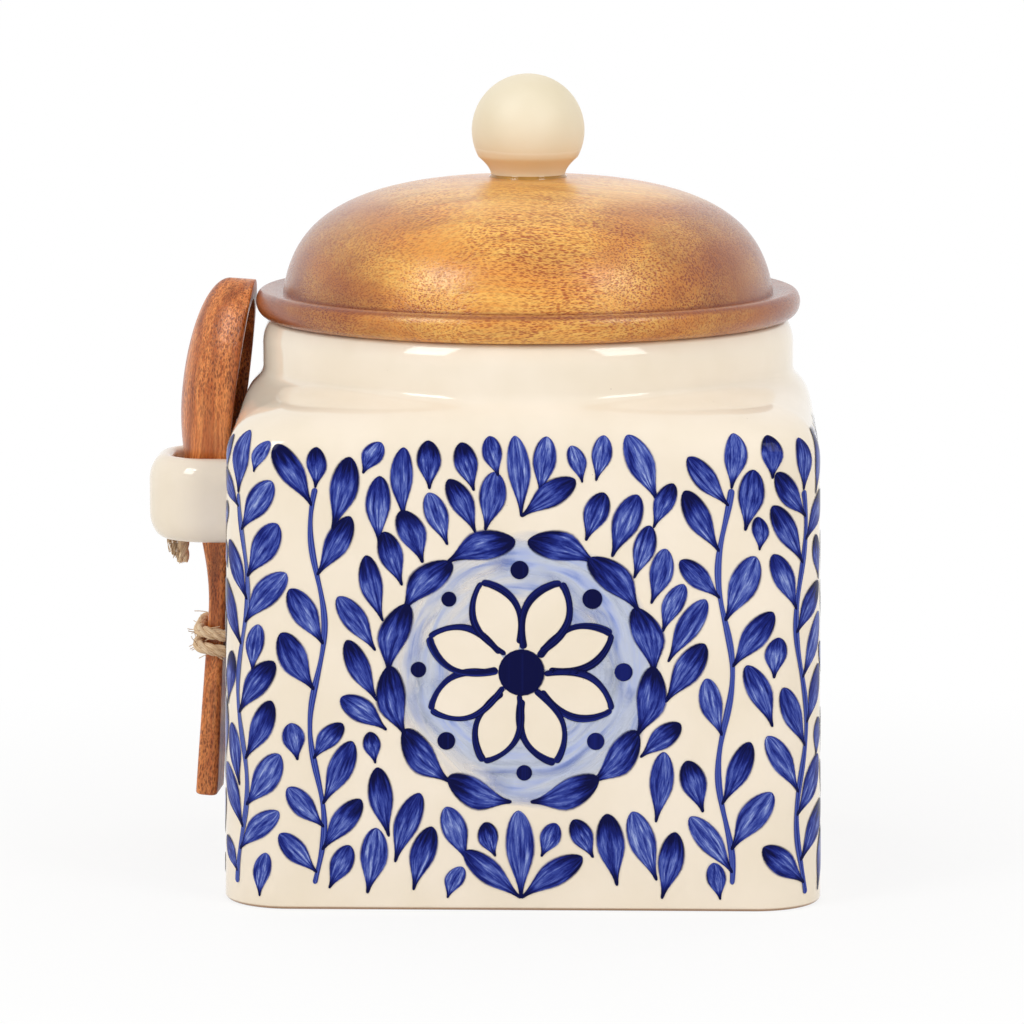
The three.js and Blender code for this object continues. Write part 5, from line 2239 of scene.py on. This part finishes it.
    def build_petals(self, lift: float, finish: Material) -> None:
        """Build the petals that are left in the body's own colour.

        Args:
            lift: How far the petals stand off the glaze.
            finish: The bare glaze.
        """
        points, faces = [], []
        for petal in self.petals:
            middle = petal.mean(0)
            rings = [
                np.column_stack((middle + (petal - middle) * share, np.full(len(petal), side)))
                for share, side in ((1.0, -1.0), (1.0, 1.0), (0.7, 1.0), (0.35, 1.0))
            ]
            made, skins = skin(rings)
            faces.extend([tuple(i + len(points) for i in face) for face in skins])
            points.extend(made.tolist())
        mesh = make_mesh("petals", points, faces, unit=1.0, tone=np.zeros(len(points)))
        make_piece("painted_petals", self.wrapped(mesh, lift), finish, "jar")

    def build(self, paint: Material, dabbed: Material, wash: Material, bare: Material) -> None:
        """Build all the brushwork.

        Args:
            paint: The cobalt of the strokes.
            dabbed: The cobalt of the dots.
            wash: The thinned cobalt.
            bare: The glaze of the body.
        """
        strokes, lines, section = self.stroke_tree(), self.ribbon_tree(), self.section_mesh()
        leaves = self.mark_mesh(np.array(self.leaves))
        dots = self.mark_mesh(np.array([(x, y, 0.0, r, r, 0.0, tone) for x, y, r, tone in self.dots]))
        washes = self.line_mesh(self.washes, self.wash_half, self.wash_load)
        stems = self.line_mesh(self.stems, self.stem_half, self.stem_load)
        outlines = self.line_mesh(self.outlines, self.outline_half, self.outline_load)
        low, under, middle, over, high = self.lifts
        self.brushed("painted_washes", lines, washes, section, low, wash)
        self.build_petals(under, bare)
        self.brushed("painted_stems", lines, stems, section, middle, paint)
        self.brushed("painted_leaves", strokes, leaves, self.leaf_mesh(), over, paint)
        self.brushed("painted_outlines", lines, outlines, section, over, paint)
        self.brushed("painted_dots", strokes, dots, self.dot_mesh(), high, dabbed)


@dataclass(frozen=True)
class Softbox:
    """A lamp behind cloth, by its direction from the object in degrees, its size and its power in watts."""

    azimuth: float
    elevation: float
    size: Pair
    power: float
    mirrored: bool = True


@dataclass
class Studio:
    """Pale floor, four softboxes, an even sky and the camera."""

    aim: Triple = (0.0, 0.0, 84.7)
    look: Triple = (-3.92, 0.0, 84.7)
    distance: float = 1400.0
    elevation: float = 8.08
    yaw: float = 1.3
    focal_pixels: float = 5709.0
    image_pixels: int = 1024
    sensor: float = 36.0
    floor_half: float = 4000.0
    floor_colour: str = "#f4f2ee"
    floor_glow: float = 0.82
    floor_glow_reach: Pair = (90.0, 260.0)
    sky: float = 0.62
    box_distance: float = 1300.0
    boxes: tuple[Softbox, ...] = (
        Softbox(-46.0, 38.0, (400.0, 480.0), 4.4),
        Softbox(46.0, 38.0, (400.0, 480.0), 3.6),
        Softbox(-152.0, 26.0, (700.0, 700.0), 2.2, False),
        Softbox(152.0, 26.0, (700.0, 700.0), 2.2, False),
    )

    def spot(self, azimuth: float, elevation: float, distance: float) -> Vector:
        """Place round the object.

        Args:
            azimuth: Degrees round from the front towards +X.
            elevation: Degrees above the horizon.
            distance: Distance from the aim.

        Returns:
            The place, in metres.
        """
        a, e = math.radians(azimuth), math.radians(elevation)
        way = Vector((math.sin(a) * math.cos(e), -math.cos(a) * math.cos(e), math.sin(e)))
        return (Vector(self.aim) + way * distance) * MM

    def build_camera(self) -> None:
        """Set the camera at the photograph's angle."""
        lens = bpy.data.cameras.new("camera")
        lens.sensor_width = self.sensor
        lens.lens = self.focal_pixels / self.image_pixels * self.sensor
        lens.clip_end = 100
        camera = bpy.data.objects.new("camera", lens)
        camera.location = self.spot(self.yaw, self.elevation, self.distance)
        aim = Vector(self.look) * MM - camera.location
        camera.rotation_euler = aim.to_track_quat("-Z", "Y").to_euler()
        bpy.context.scene.collection.objects.link(camera)
        bpy.context.scene.camera = camera

    def build_lights(self) -> None:
        """Hang the softboxes, aimed at the object."""
        for box in self.boxes:
            lamp = bpy.data.lights.new("softbox", "AREA")
            lamp.shape = "RECTANGLE"
            lamp.size, lamp.size_y = (side * MM for side in box.size)
            lamp.energy = box.power
            hung = bpy.data.objects.new("softbox", lamp)
            hung.location = self.spot(box.azimuth, box.elevation, self.box_distance)
            aim = Vector(self.aim) * MM - hung.location
            hung.rotation_euler = aim.to_track_quat("-Z", "Y").to_euler()
            hung.visible_glossy = box.mirrored
            bpy.context.scene.collection.objects.link(hung)

    def seen(self, tree: NodeTree) -> Node:
        """Whether a ray ends in the picture: straight, or by way of a mirroring or a clear surface.

        Args:
            tree: Tree that asks.

        Returns:
            The answer, 0 or 1.
        """
        rays = add(tree, "LightPath").outputs
        direct = add(tree, "Math", {0: rays["Is Camera Ray"], 1: rays["Is Glossy Ray"]}, operation="MAXIMUM")
        return add(tree, "Math", {0: direct, 1: rays["Is Transmission Ray"]}, operation="MAXIMUM")

    def build_sky(self) -> None:
        """Even grey light, seen as white."""
        world = bpy.data.worlds.new("studio_sky")
        world.use_nodes = True
        tree = world.node_tree
        tree.nodes.clear()
        level = add(tree, "MapRange", {"Value": self.seen(tree), "To Min": self.sky, "To Max": 1.0})
        glow = add(tree, "Background", {"Color": WHITE, "Strength": level})
        add(tree, "OutputWorld", {"Surface": glow})
        bpy.context.scene.world = world

    def build_floor(self) -> None:
        """Pale floor that shows near white and keeps a faint shadow."""
        corners = np.array([(-1, -1, 0), (1, -1, 0), (1, 1, 0), (-1, 1, 0)]) * self.floor_half
        mesh = make_mesh("studio_floor", corners, [(0, 1, 2, 3)])
        material = bpy.data.materials.new("pale_floor")
        material.use_nodes = True
        tree = material.node_tree
        tree.nodes.clear()
        place = add(tree, "TexCoord").outputs["Object"]
        far = add(tree, "VectorMath", {0: place}, operation="LENGTH")
        near, wide = (reach * MM for reach in self.floor_glow_reach)
        limits = {"From Min": near, "From Max": wide, "To Min": self.floor_glow, "To Max": 1.0}
        level = add(tree, "MapRange", {"Value": far, **limits})
        share = add(tree, "Math", {0: self.seen(tree), 1: level}, operation="MULTIPLY")
        matte = add(tree, "BsdfDiffuse", {"Color": linear(self.floor_colour)})
        glow = add(tree, "Emission", {"Color": WHITE, "Strength": 1.0})
        add(tree, "OutputMaterial", {"Surface": add(tree, "MixShader", {0: share, 1: matte, 2: glow})})
        mesh.materials.append(material)
        floor = bpy.data.objects.new("studio_floor", mesh)
        bpy.context.scene.collection.objects.link(floor)

    def build(self) -> None:
        """Build the whole studio, with colours shown as they are."""
        bpy.context.scene.view_settings.view_transform = "Standard"
        self.build_camera()
        self.build_lights()
        self.build_sky()
        self.build_floor()


def finishes() -> dict[str, Material]:
    """Materials by the record's slots.

    Returns:
        Each slot's material, and the adhesive.
    """
    # Turned wood, varnished: light runs in broken glints across the rings, and the foot of the dome is dark.
    lid = {"light": "#ffc862", "band": "#f09d3a", "late": "#dc8630", "pore": "#b0643c", "end": "#8f3f12"}
    foot = {"low_height": 140.3, "low_strength": 0.15, "groove_height": 139.5}
    # Carved wood, oiled: redder and duller, with the grain along the handle and no dark ends.
    spoon = {"light": "#ee9550", "band": "#b85a22", "late": "#9c4a1c", "pore": "#6f4a36", "end": "#7a3412"}
    carved = Acacia(
        "carved_acacia",
        **spoon,
        turn=(0.0, 86.0, 0.0),
        pith=(0.0, -18.0, 70.0),
        band_width=6.0,
        pore_strength=0.75,
        patch_size=16.0,
        end_strength=0.0,
        blotch_size=3.5,
        blotch_strength=0.65,
        varnish=0.7,
    )
    # The knob was fired with a duller and creamier glaze than the jar. Below the given height its ball carries
    # a painted reflection of the wooden lid, edged by a pale painted horizon line.
    knob = {"body": "#f3e7cd", "cloud": "#eadcbd", "roughness": 0.46, "specular": 0.3, "lid_reflection_height": 174.0}
    made = {
        "glazed_stoneware": GlazedStoneware("glazed_stoneware"),
        "knob_stoneware": GlazedStoneware("glazed_stoneware_knob", **knob),
        "lid_wood": Acacia("turned_acacia", **lid, **foot),
        "spoon_wood": carved,
        # Moulded silicone: an even dull white.
        "silicone": Plain("white_silicone", "#e6e4de", "#d6d3cb", 0.0, 0.55),
        # Turned brass: a warm metal gleam.
        "insert_brass": Plain("turned_brass", "#c29a52", "#a9803c", 1.0, 0.32),
        # Zinc plated in a bath: a cold, slightly cloudy gleam.
        "fixing_steel": Plain("zinc_plated_steel", "#c2c4c6", "#a4a7aa", 1.0, 0.34),
        "jute": Jute(),
        # Adhesive that set as it was pressed out: a wet gloss. Its amber is partly the adhesive's own colour
        # and partly a painted reflection of the wooden lid.
        "adhesive": Plain("set_amber_adhesive", "#c79a4a", "#8a6226", 0.0, 0.05),
    }
    return {slot: finish.material() for slot, finish in made.items()}


def main() -> None:
    """Build every piece of the canister in order."""
    Studio().build()
    dressed = finishes()
    jar, spoon = Jar(), Spoon()
    Twine(spoon).build(dressed["jute"])
    jar.build(dressed["glazed_stoneware"])
    # Dots are dabbed, not drawn, so the brush's hairs hardly show in them.
    paints = (CobaltPaint(), CobaltPaint("cobalt_dabs", ground=0.5, streak_weight=0.7), WashPaint())
    Painting(jar).build(*(paint.material() for paint in paints), dressed["glazed_stoneware"])
    SpoonLoop(jar).build(dressed["glazed_stoneware"])
    Lid(Lathe(), jar).build(dressed)
    spoon.build(dressed["spoon_wood"])


if __name__ == "__main__":
    logging.basicConfig(level=logging.INFO)
    main()
